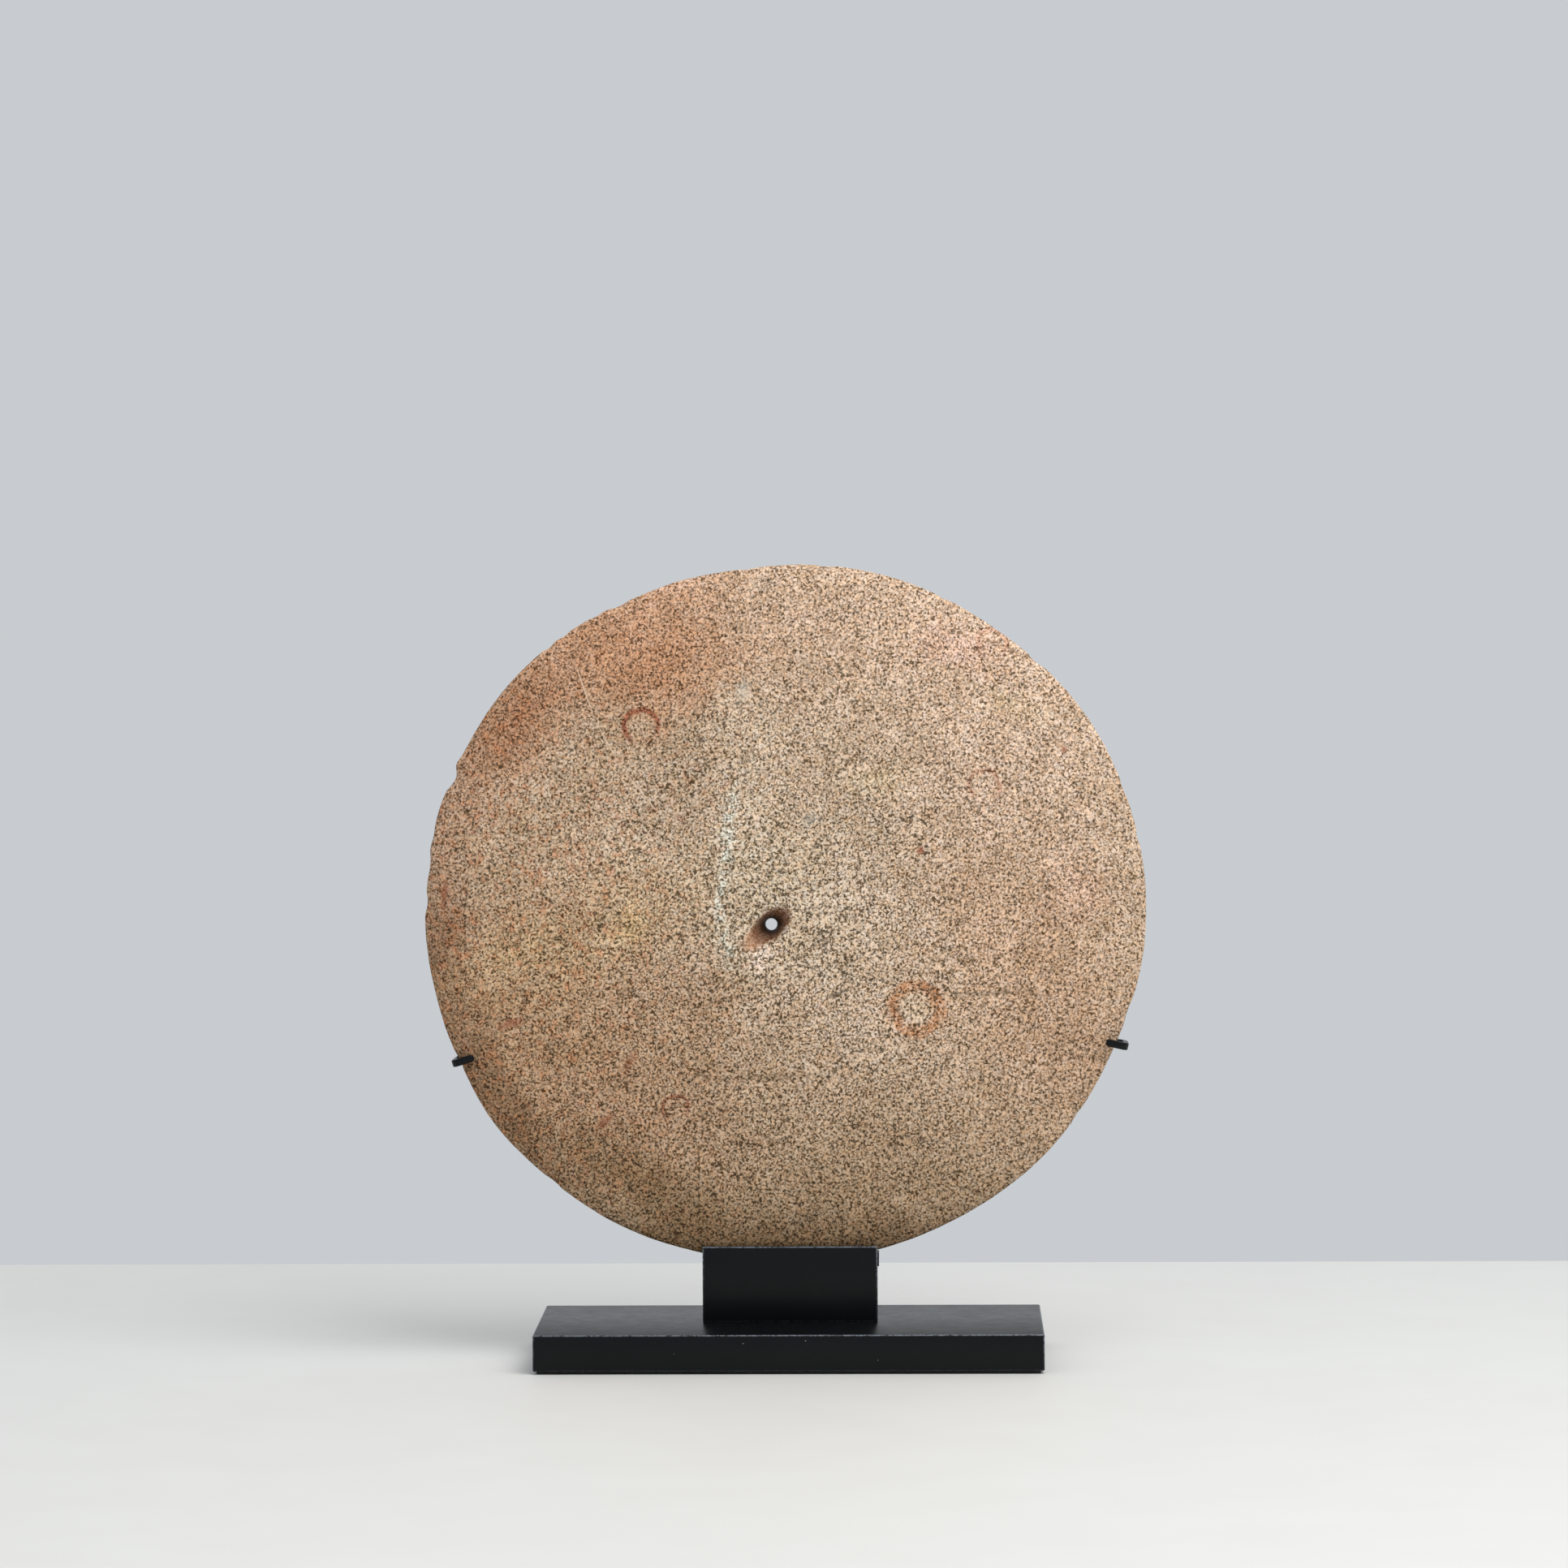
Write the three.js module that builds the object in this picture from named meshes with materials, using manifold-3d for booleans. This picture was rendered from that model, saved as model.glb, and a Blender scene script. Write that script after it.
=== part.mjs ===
/**
 * A drilled stone disc on its display stand.
 *
 * The disc is one piece of stone, a blunt lens in section, with a rim worn and chipped a little
 * off a true ellipse and one hole drilled through from both faces. It stands on edge in a
 * slotted block on a flat plate, and two bent bars reach round its rim from behind.
 *
 * Millimetres, +Z up, +X to the right and -Y towards the viewer. The origin is the centre of
 * the underside, on the surface that the stand rests on.
 */
import * as THREE from 'three'
import { mergeVertices } from 'three/addons/utils/BufferGeometryUtils.js'
import Module from 'manifold-3d'

const wasm = await Module()
wasm.setup()

// ---------------------------------------------------------------- driving dimensions

const FELT = { thick: 1.3, inset: 1.4, corner: 1.5 }
const PLATE = { wide: 210, deep: 90, thick: 15, ease: 0.5 }
const BLOCK = { wide: 72.8, deep: 15, high: 31.6, ease: 0.4 }
const SLOT = { wide: 10, deep: 8.9 }
// The liner stands proud of the block's right end, and ends short of its left end.
const LINER = { proud: 0.7, setback: 0.4, gap: 0.3 }

// The outline of the disc is an ellipse with its long axis tipped up to the right.
const DISC = { x: -1.6, z: 186.25, long: 150.7, short: 145.8, tip: 6.3, halfThick: 10 }
// How blunt the rim is: 0.5 gives an ellipsoid, and less gives a fuller edge.
const BLUNTNESS = 0.43

// Places where the worked rim stands proud of the ellipse, or falls short of it.
// at and spread are in degrees round the disc from its right-hand side, rise in millimetres.
const SWELLS = [
  { at: 34, rise: 0.55, spread: 7 },
  { at: 53, rise: -0.35, spread: 5 },
  { at: 72, rise: 0.45, spread: 6 },
  { at: 98, rise: -1.15, spread: 7 },
  { at: 114, rise: -0.75, spread: 4 },
  { at: 138, rise: 1.35, spread: 9 },
  { at: 162, rise: 0.5, spread: 5 },
  { at: 175, rise: -0.7, spread: 3 },
  { at: 193, rise: -0.95, spread: 8 },
  { at: 205, rise: -0.5, spread: 3 },
  { at: 217, rise: 0.55, spread: 4 },
  { at: 243, rise: 0.55, spread: 5 },
  { at: 314, rise: 0.3, spread: 5 },
  { at: 338, rise: -1.2, spread: 8 },
]
// Old chips in the rim, the deepest of them a step at the upper left.
const CHIPS = [
  { at: 158, rise: -1.9, spread: 0.9 },
  { at: 172, rise: -0.6, spread: 1 },
  { at: 178, rise: -0.7, spread: 0.8 },
  { at: 118, rise: -0.6, spread: 0.8 },
  { at: 96, rise: -0.5, spread: 0.8 },
  { at: 344, rise: -0.4, spread: 1 },
]
const CHIP_REACH = 5

// The hole: two funnels that meet in a narrow throat, the front one worn into an oval.
const HOLE = { x: -7.07, z: 181.86, throat: 5.9, throatLength: 2 }
const FRONT_FUNNEL = { long: 9.8, short: 5.9, turn: 41 }
const BACK_FUNNEL = { long: 8.2, short: 7.6, turn: 0 }
const FUNNEL_FLARE = 1.7

// The arms are one flat bar each. x and z are where the bar passes forward outside the rim,
// face is the direction that its outer side looks there and tab the one that its end points,
// in degrees in the plane of the disc, and tip is the length of that end.
const BAR = { wide: 3.1, thick: 2.4, ease: 0.35, bend: 2.2, elbow: 24 }
const FOOT = { x: 14, low: 19, high: 47 }
const RADIAL_RUN = 24
const TAB_Y = -5
// The hammered end: the share of the full section that is left, at distances back from the tip.
const HAMMERED = [
  { back: 1.1, share: 1 },
  { back: 0.35, share: 0.88 },
  { back: 0, share: 0.62 },
]
const LEFT_ARM = { side: -1, x: -139.3, z: 124.6, face: 212, tab: 17, tip: 8.4 }
const RIGHT_ARM = { side: 1, x: 139.9, z: 130.7, face: 352.4, tab: 167, tip: 8.3 }

// Curves are cut into this many flat stretches.
const RIM_STEPS = 144
const FUNNEL_STEPS = 36
const BEND_STEPS = 5
// Where the disc's rings lie, as shares of the way from the rim to the centre.
const DISC_RINGS = [0.7, 0.42, 0.24, 0.12, 0.055, 0.022, 0.006]
// Where a funnel's rings lie, from outside the face, past its mouth at 1, to its throat at 0.
const FUNNEL_RINGS = [1.25, 1.0, 0.75, 0.5, 0.25, 0]

const plateTop = FELT.thick + PLATE.thick
const blockTop = plateTop + BLOCK.high
const slotFloor = blockTop - SLOT.deep

// ---------------------------------------------------------------- helpers

const radians = THREE.MathUtils.degToRad

/** A unit vector in the plane of the disc, at an angle in degrees. */
function inPlane(angle) {
  return new THREE.Vector3(Math.cos(radians(angle)), 0, Math.sin(radians(angle)))
}

/** A closed surface through rings of equal length, with a point closing each end. */
function skinRings(rings, startPoint, endPoint) {
  const count = rings[0].length
  const points = rings.flat()
  const faces = []
  for (let ring = 0; ring + 1 < rings.length; ring++) {
    for (let i = 0; i < count; i++) {
      const a = ring * count + i
      const b = ring * count + ((i + 1) % count)
      faces.push(a, b, b + count, a, b + count, a + count)
    }
  }
  const startIndex = points.push(startPoint) - 1
  const endIndex = points.push(endPoint) - 1
  const last = (rings.length - 1) * count
  for (let i = 0; i < count; i++) {
    const next = (i + 1) % count
    faces.push(startIndex, next, i)
    faces.push(endIndex, last + i, last + next)
  }
  const geometry = new THREE.BufferGeometry().setFromPoints(points)
  geometry.setIndex(faces)
  return geometry
}

/** A manifold-3d solid from a closed three.js geometry. */
function toSolid(geometry) {
  const bare = geometry.clone()
  bare.deleteAttribute('normal')
  bare.deleteAttribute('uv')
  const merged = mergeVertices(bare, 1e-4)
  return new wasm.Manifold(new wasm.Mesh({
    numProp: 3,
    vertProperties: new Float32Array(merged.attributes.position.array),
    triVerts: new Uint32Array(merged.index.array),
  }))
}

/** A three.js geometry from a manifold-3d solid. */
function toGeometry(solid) {
  const mesh = solid.getMesh()
  const geometry = new THREE.BufferGeometry()
  geometry.setAttribute('position', new THREE.Float32BufferAttribute(mesh.vertProperties, 3))
  geometry.setIndex(Array.from(mesh.triVerts))
  return geometry
}

function namedMesh(name, geometry, material) {
  const mesh = new THREE.Mesh(geometry, material)
  mesh.name = name
  return mesh
}

// ---------------------------------------------------------------- materials

function stoneMaterial() {
  return new THREE.MeshStandardMaterial({ color: 0xb1967a, roughness: 0.75, metalness: 0 })
}

function blackPaintMaterial() {
  return new THREE.MeshStandardMaterial({ color: 0x1d1f20, roughness: 0.42, metalness: 0.2 })
}

function feltMaterial() {
  return new THREE.MeshStandardMaterial({ color: 0x111111, roughness: 0.95, metalness: 0 })
}

// ---------------------------------------------------------------- the stone disc

/** The summed height of a list of bumps, at an angle in degrees. */
function bumpHeight(bumps, angle) {
  let height = 0
  for (const bump of bumps) {
    const away = THREE.MathUtils.euclideanModulo(angle - bump.at + 180, 360) - 180
    height += bump.rise * Math.exp(-0.5 * (away / bump.spread) ** 2)
  }
  return height
}

/** Distance from the disc's centre to its unchipped rim, at an angle in degrees. */
function rimRadius(angle) {
  const along = radians(angle - DISC.tip)
  const ellipse = DISC.long * DISC.short
    / Math.hypot(DISC.short * Math.cos(along), DISC.long * Math.sin(along))
  return ellipse + bumpHeight(SWELLS, angle)
}

/** Half the stone's thickness at a share of the way from the rim (0) to the centre (1). */
function halfThickness(share) {
  return DISC.halfThick * (1 - (1 - share) ** 2) ** BLUNTNESS
}

/** The undrilled disc: rings that start at the back pole, turn over the rim and end in front. */
function discBlank() {
  // The rings shrink towards the hole, and a chip dies out a few millimetres from the rim.
  const ringAt = (share, side) => {
    const ring = []
    for (let step = 0; step < RIM_STEPS; step++) {
      const angle = step * 360 / RIM_STEPS
      const fade = Math.exp(-share * DISC.long / CHIP_REACH)
      const reach = rimRadius(angle) * (1 - share) + bumpHeight(CHIPS, angle) * fade
      const point = inPlane(angle).multiplyScalar(reach)
      point.x += THREE.MathUtils.lerp(DISC.x, HOLE.x, share)
      point.z += THREE.MathUtils.lerp(DISC.z, HOLE.z, share)
      point.y = side * halfThickness(share)
      ring.push(point)
    }
    return ring
  }
  const back = DISC_RINGS.map((share) => ringAt(share, 1))
  const front = DISC_RINGS.map((share) => ringAt(share, -1)).reverse()
  const rings = [...back, ringAt(0, 0), ...front]
  const backPole = new THREE.Vector3(HOLE.x, DISC.halfThick, HOLE.z)
  const frontPole = new THREE.Vector3(HOLE.x, -DISC.halfThick, HOLE.z)
  return skinRings(rings, backPole, frontPole)
}

/** One funnel of the hole, from outside the face (side -1 front, 1 back) to past the middle. */
function funnel(mouth, side) {
  const throatRadius = HOLE.throat / 2
  const halfThroat = HOLE.throatLength / 2
  const turn = inPlane(mouth.turn)
  const across = inPlane(mouth.turn + 90)
  const ringAt = (y, long, short) => {
    const ring = []
    for (let step = 0; step < FUNNEL_STEPS; step++) {
      const angle = side * radians(step * 360 / FUNNEL_STEPS)
      const point = new THREE.Vector3(HOLE.x, y, HOLE.z)
      point.addScaledVector(turn, long * Math.cos(angle))
      point.addScaledVector(across, short * Math.sin(angle))
      ring.push(point)
    }
    return ring
  }
  const rings = FUNNEL_RINGS.map((share) => {
    const flare = share ** FUNNEL_FLARE
    const y = side * (halfThroat + (DISC.halfThick - halfThroat) * share)
    const long = throatRadius + (mouth.long - throatRadius) * flare
    const short = throatRadius + (mouth.short - throatRadius) * flare
    return ringAt(y, long, short)
  })
  rings.push(ringAt(-side * halfThroat, throatRadius, throatRadius))
  const outside = new THREE.Vector3(HOLE.x, rings[0][0].y, HOLE.z)
  const inside = new THREE.Vector3(HOLE.x, -side * halfThroat, HOLE.z)
  return skinRings(rings, outside, inside)
}

function stoneDisc() {
  const drilled = toSolid(discBlank())
    .subtract(toSolid(funnel(FRONT_FUNNEL, -1)))
    .subtract(toSolid(funnel(BACK_FUNNEL, 1)))
  return namedMesh('stone_disc', toGeometry(drilled), stoneMaterial())
}

// ---------------------------------------------------------------- the stand

/** A rectangle with its corners cut off at 45 degrees, centred on the origin. */
function easedRectangle(wide, high, cut) {
  const x = wide / 2
  const y = high / 2
  return new THREE.Shape([
    new THREE.Vector2(-x + cut, -y),
    new THREE.Vector2(x - cut, -y),
    new THREE.Vector2(x, -y + cut),
    new THREE.Vector2(x, y - cut),
    new THREE.Vector2(x - cut, y),
    new THREE.Vector2(-x + cut, y),
    new THREE.Vector2(-x, y - cut),
    new THREE.Vector2(-x, -y + cut),
  ])
}

/** A shape pushed out along +Z from 0 to a length, with both end faces eased. */
function easedExtrusion(shape, length, ease) {
  const geometry = new THREE.ExtrudeGeometry(shape, {
    depth: length - 2 * ease,
    bevelEnabled: true,
    bevelThickness: ease,
    bevelSize: ease,
    bevelOffset: -ease,
    bevelSegments: 1,
  })
  return geometry.translate(0, 0, ease)
}

function feltPad() {
  const wide = PLATE.wide - 2 * FELT.inset
  const deep = PLATE.deep - 2 * FELT.inset
  const shape = easedRectangle(wide, deep, FELT.corner)
  const geometry = new THREE.ExtrudeGeometry(shape, { depth: FELT.thick, bevelEnabled: false })
  return namedMesh('felt_pad', geometry, feltMaterial())
}

function basePlate() {
  const shape = easedRectangle(PLATE.wide, PLATE.deep, PLATE.ease)
  const geometry = easedExtrusion(shape, PLATE.thick, PLATE.ease)
  const plate = namedMesh('base_plate', geometry, blackPaintMaterial())
  plate.position.z = FELT.thick
  return plate
}

/** The block's end view, a square-cornered U: across the stand in x, up it in y. */
function blockSection() {
  const half = BLOCK.deep / 2
  const slot = SLOT.wide / 2
  const top = BLOCK.high
  const cut = BLOCK.ease
  return new THREE.Shape([
    new THREE.Vector2(-half, 0),
    new THREE.Vector2(half, 0),
    new THREE.Vector2(half, top - cut),
    new THREE.Vector2(half - cut, top),
    new THREE.Vector2(slot + cut, top),
    new THREE.Vector2(slot, top - cut),
    new THREE.Vector2(slot, top - SLOT.deep),
    new THREE.Vector2(-slot, top - SLOT.deep),
    new THREE.Vector2(-slot, top - cut),
    new THREE.Vector2(-slot - cut, top),
    new THREE.Vector2(-half + cut, top),
    new THREE.Vector2(-half, top - cut),
  ])
}

function supportBlock() {
  const geometry = easedExtrusion(blockSection(), BLOCK.wide, BLOCK.ease)
  geometry.translate(0, 0, -BLOCK.wide / 2)
  // Section x becomes +Y, section y becomes +Z, and the length lies along +X.
  geometry.rotateX(Math.PI / 2).rotateZ(Math.PI / 2)
  const block = namedMesh('support_block', geometry, blackPaintMaterial())
  block.position.z = plateTop
  return block
}

/** The bed under the disc: flat below, and above it follows the rim a hair below the stone. */
function slotLiner() {
  const left = -BLOCK.wide / 2 + LINER.setback
  const right = BLOCK.wide / 2 + LINER.proud
  const topPoints = []
  // One point a degree, over the lowest sixth of the rim.
  for (let angle = 240; angle <= 300; angle++) {
    const reach = rimRadius(angle) + LINER.gap
    const point = inPlane(angle).multiplyScalar(reach)
    topPoints.push(new THREE.Vector2(point.x + DISC.x, point.z + DISC.z))
  }
  const inside = topPoints.filter((point) => point.x > left && point.x < right)
  const endHeight = (x) => {
    const after = topPoints.findIndex((point) => point.x > x)
    const a = topPoints[after - 1]
    const b = topPoints[after]
    return THREE.MathUtils.mapLinear(x, a.x, b.x, a.y, b.y)
  }
  const shape = new THREE.Shape([
    new THREE.Vector2(left, slotFloor),
    new THREE.Vector2(right, slotFloor),
    new THREE.Vector2(right, endHeight(right)),
    ...inside.reverse(),
    new THREE.Vector2(left, endHeight(left)),
  ])
  const depth = SLOT.wide - 2 * LINER.gap
  const geometry = new THREE.ExtrudeGeometry(shape, { depth, bevelEnabled: false })
  geometry.translate(0, 0, -depth / 2).rotateX(Math.PI / 2)
  return namedMesh('slot_liner', geometry, feltMaterial())
}

// ---------------------------------------------------------------- the arms

/** Eight corners of the bar's section at a station, its width along across. */
function barSection(station) {
  const { point, along, across, share } = station
  const through = new THREE.Vector3().crossVectors(along, across)
  const w = BAR.wide / 2 * share
  const t = BAR.thick / 2 * share
  const cut = BAR.ease * share
  const corners = [
    [w, -t + cut], [w, t - cut], [w - cut, t], [-w + cut, t],
    [-w, t - cut], [-w, -t + cut], [-w + cut, -t], [w - cut, -t],
  ]
  return corners.map(([u, v]) =>
    point.clone().addScaledVector(across, u).addScaledVector(through, v))
}

/** Stations round a bend: from a point, heading from, turning to heading to. */
function bendStations(start, from, to, radius, acrossFrom, acrossTo) {
  const angle = from.angleTo(to)
  const axis = new THREE.Vector3().crossVectors(from, to).normalize()
  const inward = new THREE.Vector3().crossVectors(axis, from)
  const centre = start.clone().addScaledVector(inward, radius)
  const stations = []
  for (let step = 0; step <= BEND_STEPS; step++) {
    const share = step / BEND_STEPS
    const turned = angle * share
    const along = from.clone().applyAxisAngle(axis, turned)
    const spoke = start.clone().sub(centre).applyAxisAngle(axis, turned)
    const across = acrossFrom.clone().lerp(acrossTo, share)
    across.addScaledVector(along, -across.dot(along)).normalize()
    stations.push({ point: centre.clone().add(spoke), along, across, share: 1 })
  }
  return stations
}

/** One arm: up the block, out behind the disc, forward past its rim, and in over its face. */
function armGeometry(arm) {
  const backY = BLOCK.deep / 2 + BAR.thick / 2
  const up = new THREE.Vector3(0, 0, 1)
  const forward = new THREE.Vector3(0, -1, 0)
  const outward = inPlane(arm.face)
  const inward = inPlane(arm.tab)
  const past = new THREE.Vector3(arm.x, backY, arm.z)
  const turnPoint = past.clone().addScaledVector(outward, -RADIAL_RUN)
  const footTop = new THREE.Vector3(arm.side * FOOT.x, backY, FOOT.high)
  const slope = turnPoint.clone().sub(footTop).normalize()

  // Across is worked out so that it never flips as the bar turns within the back plane.
  const acrossIn = (along) => new THREE.Vector3().crossVectors(along, forward)
  const atCorner = (corner, from, to, radius) => {
    const setback = radius * Math.tan(from.angleTo(to) / 2)
    const start = corner.clone().addScaledVector(from, -setback)
    return bendStations(start, from, to, radius, acrossIn(from), acrossIn(to))
  }
  const foot = new THREE.Vector3(arm.side * FOOT.x, backY, FOOT.low)
  const stations = [{ point: foot, along: up, across: acrossIn(up), share: 1 }]
  stations.push(...atCorner(footTop, up, slope, BAR.elbow))
  stations.push(...atCorner(turnPoint, slope, outward, BAR.elbow))

  const backAcross = acrossIn(outward)
  const tabAcross = new THREE.Vector3().crossVectors(forward, inward)
  if (tabAcross.dot(backAcross) < 0) tabAcross.negate()
  const goForward = past.clone().addScaledVector(outward, -BAR.bend)
  stations.push(...bendStations(goForward, outward, forward, BAR.bend, backAcross, backAcross))
  const goInward = new THREE.Vector3(arm.x, TAB_Y + BAR.bend, arm.z)
  stations.push(...bendStations(goInward, forward, inward, BAR.bend, tabAcross, tabAcross))

  const tabStart = new THREE.Vector3(arm.x, TAB_Y, arm.z)
  for (const { back, share } of HAMMERED) {
    const point = tabStart.clone().addScaledVector(inward, arm.tip - back)
    stations.push({ point, along: inward, across: tabAcross, share })
  }
  const first = stations[0].point
  const last = stations[stations.length - 1].point
  return skinRings(stations.map(barSection), first, last)
}

function arm(name, place) {
  return namedMesh(name, armGeometry(place), blackPaintMaterial())
}

// ---------------------------------------------------------------- the whole object

const group = new THREE.Group()
group.add(
  feltPad(),
  basePlate(),
  supportBlock(),
  slotLiner(),
  arm('left_arm', LEFT_ARM),
  arm('right_arm', RIGHT_ARM),
  stoneDisc(),
)

export default group
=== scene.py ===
# %% [markdown]
# # A drilled stone disc on its black stand
#
# The object is an ancient disc of speckled stone, about thirty centimetres across. It was pecked
# and ground to the shape of a flat lens, and drilled from both faces until the two cones met.
# It stands on edge in a slotted block on a plate, and two bent bars hook round its rim.
#
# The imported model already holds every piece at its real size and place. This script loads it
# as a fixed frame and gives each piece the surface that the real one has.

# %% Load the frame
import math

import bmesh
import bpy
from mathutils import Matrix, Vector


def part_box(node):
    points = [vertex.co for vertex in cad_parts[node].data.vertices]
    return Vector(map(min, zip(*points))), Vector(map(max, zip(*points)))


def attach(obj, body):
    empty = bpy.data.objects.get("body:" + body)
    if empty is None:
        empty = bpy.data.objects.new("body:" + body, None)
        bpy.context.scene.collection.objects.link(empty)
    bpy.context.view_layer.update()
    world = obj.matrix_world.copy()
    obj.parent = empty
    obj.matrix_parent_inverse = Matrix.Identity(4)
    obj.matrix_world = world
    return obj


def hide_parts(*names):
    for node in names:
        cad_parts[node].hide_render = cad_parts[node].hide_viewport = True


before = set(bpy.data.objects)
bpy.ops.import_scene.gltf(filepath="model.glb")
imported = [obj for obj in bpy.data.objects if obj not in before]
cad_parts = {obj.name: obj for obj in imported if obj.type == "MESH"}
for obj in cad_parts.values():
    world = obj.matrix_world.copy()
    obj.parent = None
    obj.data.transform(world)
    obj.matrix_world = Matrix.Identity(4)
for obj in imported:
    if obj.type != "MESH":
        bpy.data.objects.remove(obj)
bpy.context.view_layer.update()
MM = 0.001


def corners(node):
    """The lowest and highest corner of a node of the frame, as vectors."""
    low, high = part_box(node)
    return Vector(low), Vector(high)


disc_low, disc_high = corners("stone_disc")
plate_low, plate_high = corners("base_plate")
block_low, block_high = corners("support_block")
liner_low, liner_high = corners("slot_liner")
pad_low, pad_high = corners("felt_pad")
print("nodes in the frame:", sorted(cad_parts))
print("disc, in mm:", [round(side / MM, 1) for side in disc_high - disc_low])

# %% [markdown]
# ## The camera
#
# The disc is seen almost square on, from a little above and a little to the right, through a
# long lens. A long lens from over two metres away keeps the plate's sides nearly parallel, so
# the camera's distance matters as much as its direction.

# %% Place the camera
CAMERA_PLACE = Vector((53.6, -2339.2, 345.3)) * MM
LOOK_LEFT = math.radians(1.35)
LOOK_DOWN = math.radians(2.57)
LEAN = math.radians(-0.32)
LENS_MM = 129.3
SENSOR_MM = 36.0


def place_camera():
    """A camera that looks along +Y, turned a little, dipped a little and hardly leaning."""
    data = bpy.data.cameras.new("camera")
    data.lens = LENS_MM
    data.sensor_width = SENSOR_MM
    data.clip_start = 0.05
    camera = bpy.data.objects.new("camera", data)
    bpy.context.scene.collection.objects.link(camera)
    turn = Matrix.Rotation(LOOK_LEFT, 4, "Z")
    dip = Matrix.Rotation(math.pi / 2 - LOOK_DOWN, 4, "X")
    lean = Matrix.Rotation(LEAN, 4, "Z")
    camera.matrix_world = Matrix.Translation(CAMERA_PLACE) @ turn @ dip @ lean
    bpy.context.scene.camera = camera


place_camera()
print("camera stands", round(CAMERA_PLACE.length, 2), "m from the stand")

# %% [markdown]
# ## Small helpers
#
# Every operator acts on whatever is selected, so each piece starts from an empty selection.
# `chosen` marks the vertices that pass a test, which is how a hand would pick them.


# %% Selection and modifier helpers
def start_clean():
    """Leaves edit mode and deselects everything."""
    if bpy.context.object and bpy.context.object.mode != "OBJECT":
        bpy.ops.object.mode_set(mode="OBJECT")
    bpy.ops.object.select_all(action="DESELECT")


def take(piece):
    """Makes a piece the only one selected, and the active one."""
    start_clean()
    piece.select_set(True)
    bpy.context.view_layer.objects.active = piece


def edit(piece):
    """Opens a piece for editing with nothing in it selected."""
    take(piece)
    bpy.ops.object.mode_set(mode="EDIT")
    bpy.ops.mesh.select_mode(type="VERT")
    bpy.ops.mesh.select_all(action="DESELECT")


def chosen(piece, test):
    """Selects, in edit mode, just the vertices whose place passes the test."""
    mesh = bmesh.from_edit_mesh(piece.data)
    for item in (*mesh.faces, *mesh.edges, *mesh.verts):
        item.select = False
    for vert in mesh.verts:
        vert.select = test(vert.co)
    mesh.select_flush_mode()
    bmesh.update_edit_mesh(piece.data)


def finish_with(piece, kind, **settings):
    """Adds a modifier and applies it at once."""
    take(piece)
    modifier = piece.modifiers.new(kind.lower(), kind)
    for key, value in settings.items():
        setattr(modifier, key, value)
    bpy.ops.object.modifier_apply(modifier=modifier.name)


def turn_flat(angle, about):
    """Turns the selection in the plane of the disc, against the clock as seen from the front."""
    bpy.ops.transform.rotate(
        value=angle, orient_axis="Y", orient_type="GLOBAL", center_override=about
    )


def dress(piece, material):
    """Gives a piece one material all over."""
    piece.data.materials.clear()
    piece.data.materials.append(material)


def count_faces(piece):
    """Prints how many triangles a piece has come to."""
    triangles = sum(len(face.vertices) - 2 for face in piece.data.polygons)
    print(piece.name, "has", triangles, "triangles")


def stand_for(piece, node):
    """The piece takes the place of a node and rides with the stand."""
    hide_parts(node)
    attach(piece, "root")
    count_faces(piece)


# %% [markdown]
# ## The stone disc: one spun profile
#
# The disc and its hole are one surface that closes on itself like a ring doughnut: out of the
# throat, up the front funnel, over the front face, round the rim, over the back and down the
# back funnel. So the section is drawn once, to one side of the drill's axis, and spun round
# it. That keeps the funnels as clean as a drill leaves them, with no boolean cut.

# %% Sizes of the disc and of its hole
LONG_HALF = 150.7 * MM
SHORT_HALF = 145.8 * MM
MEAN_RADIUS = (LONG_HALF + SHORT_HALF) / 2
LONG_AXIS_TIP = math.radians(6.3)
DISC_CENTRE = Vector((-1.6, 0.0, 186.25)) * MM
HALF_THICK = (disc_high.y - disc_low.y) / 2
BLUNTNESS = 0.43

DRILL = Vector((-7.07, 0.0, 181.86)) * MM
THROAT_RADIUS = 2.34 * MM
THROAT_HALF_LENGTH = 1.0 * MM
FRONT_MOUTH = (9.8 * MM, 5.9 * MM)
BACK_MOUTH = (8.2 * MM, 7.6 * MM)
FRONT_MOUTH_TURN = math.radians(41)
FUNNEL_FLARE = 1.7
FACE_RINGS = 26
FUNNEL_RINGS = 7
SPIN_STEPS = 180
HAIR = 0.002 * MM
print("mean radius, in mm:", round(MEAN_RADIUS / MM, 2))

# %% [markdown]
# Each point of the section becomes a ring of the stone. On a face the rings are spaced by the
# sine of an even angle, so they crowd together at the rim, where the stone curves most. In a
# funnel they follow a flare that stays narrow near the throat and opens fast at the mouth.


# %% Work out the rings of the section
def half_thickness(radius):
    """Half the stone's thickness at a distance from its middle."""
    share = min(radius / MEAN_RADIUS, 1.0)
    return HALF_THICK * (1.0 - share * share) ** BLUNTNESS


def funnel_reach(mouth_radius, share):
    """A funnel's radius: share 0 at the throat, 1 at its mouth."""
    return THROAT_RADIUS + (mouth_radius - THROAT_RADIUS) * share ** FUNNEL_FLARE


def funnel_depth(share):
    """A funnel's distance from the middle of the stone."""
    return THROAT_HALF_LENGTH + (HALF_THICK - THROAT_HALF_LENGTH) * share


def round_mouth(mouth):
    """The radius of the round mouth that an oval one is squeezed from."""
    return sum(mouth) / 2


def face_radii(mouth_radius):
    """Radii of the rings from the mouth to just short of the rim, closest at the rim."""
    first = math.asin(mouth_radius / MEAN_RADIUS)
    steps = [first + (math.pi / 2 - first) * step / FACE_RINGS for step in range(FACE_RINGS)]
    return [MEAN_RADIUS * math.sin(angle) for angle in steps]


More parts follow.
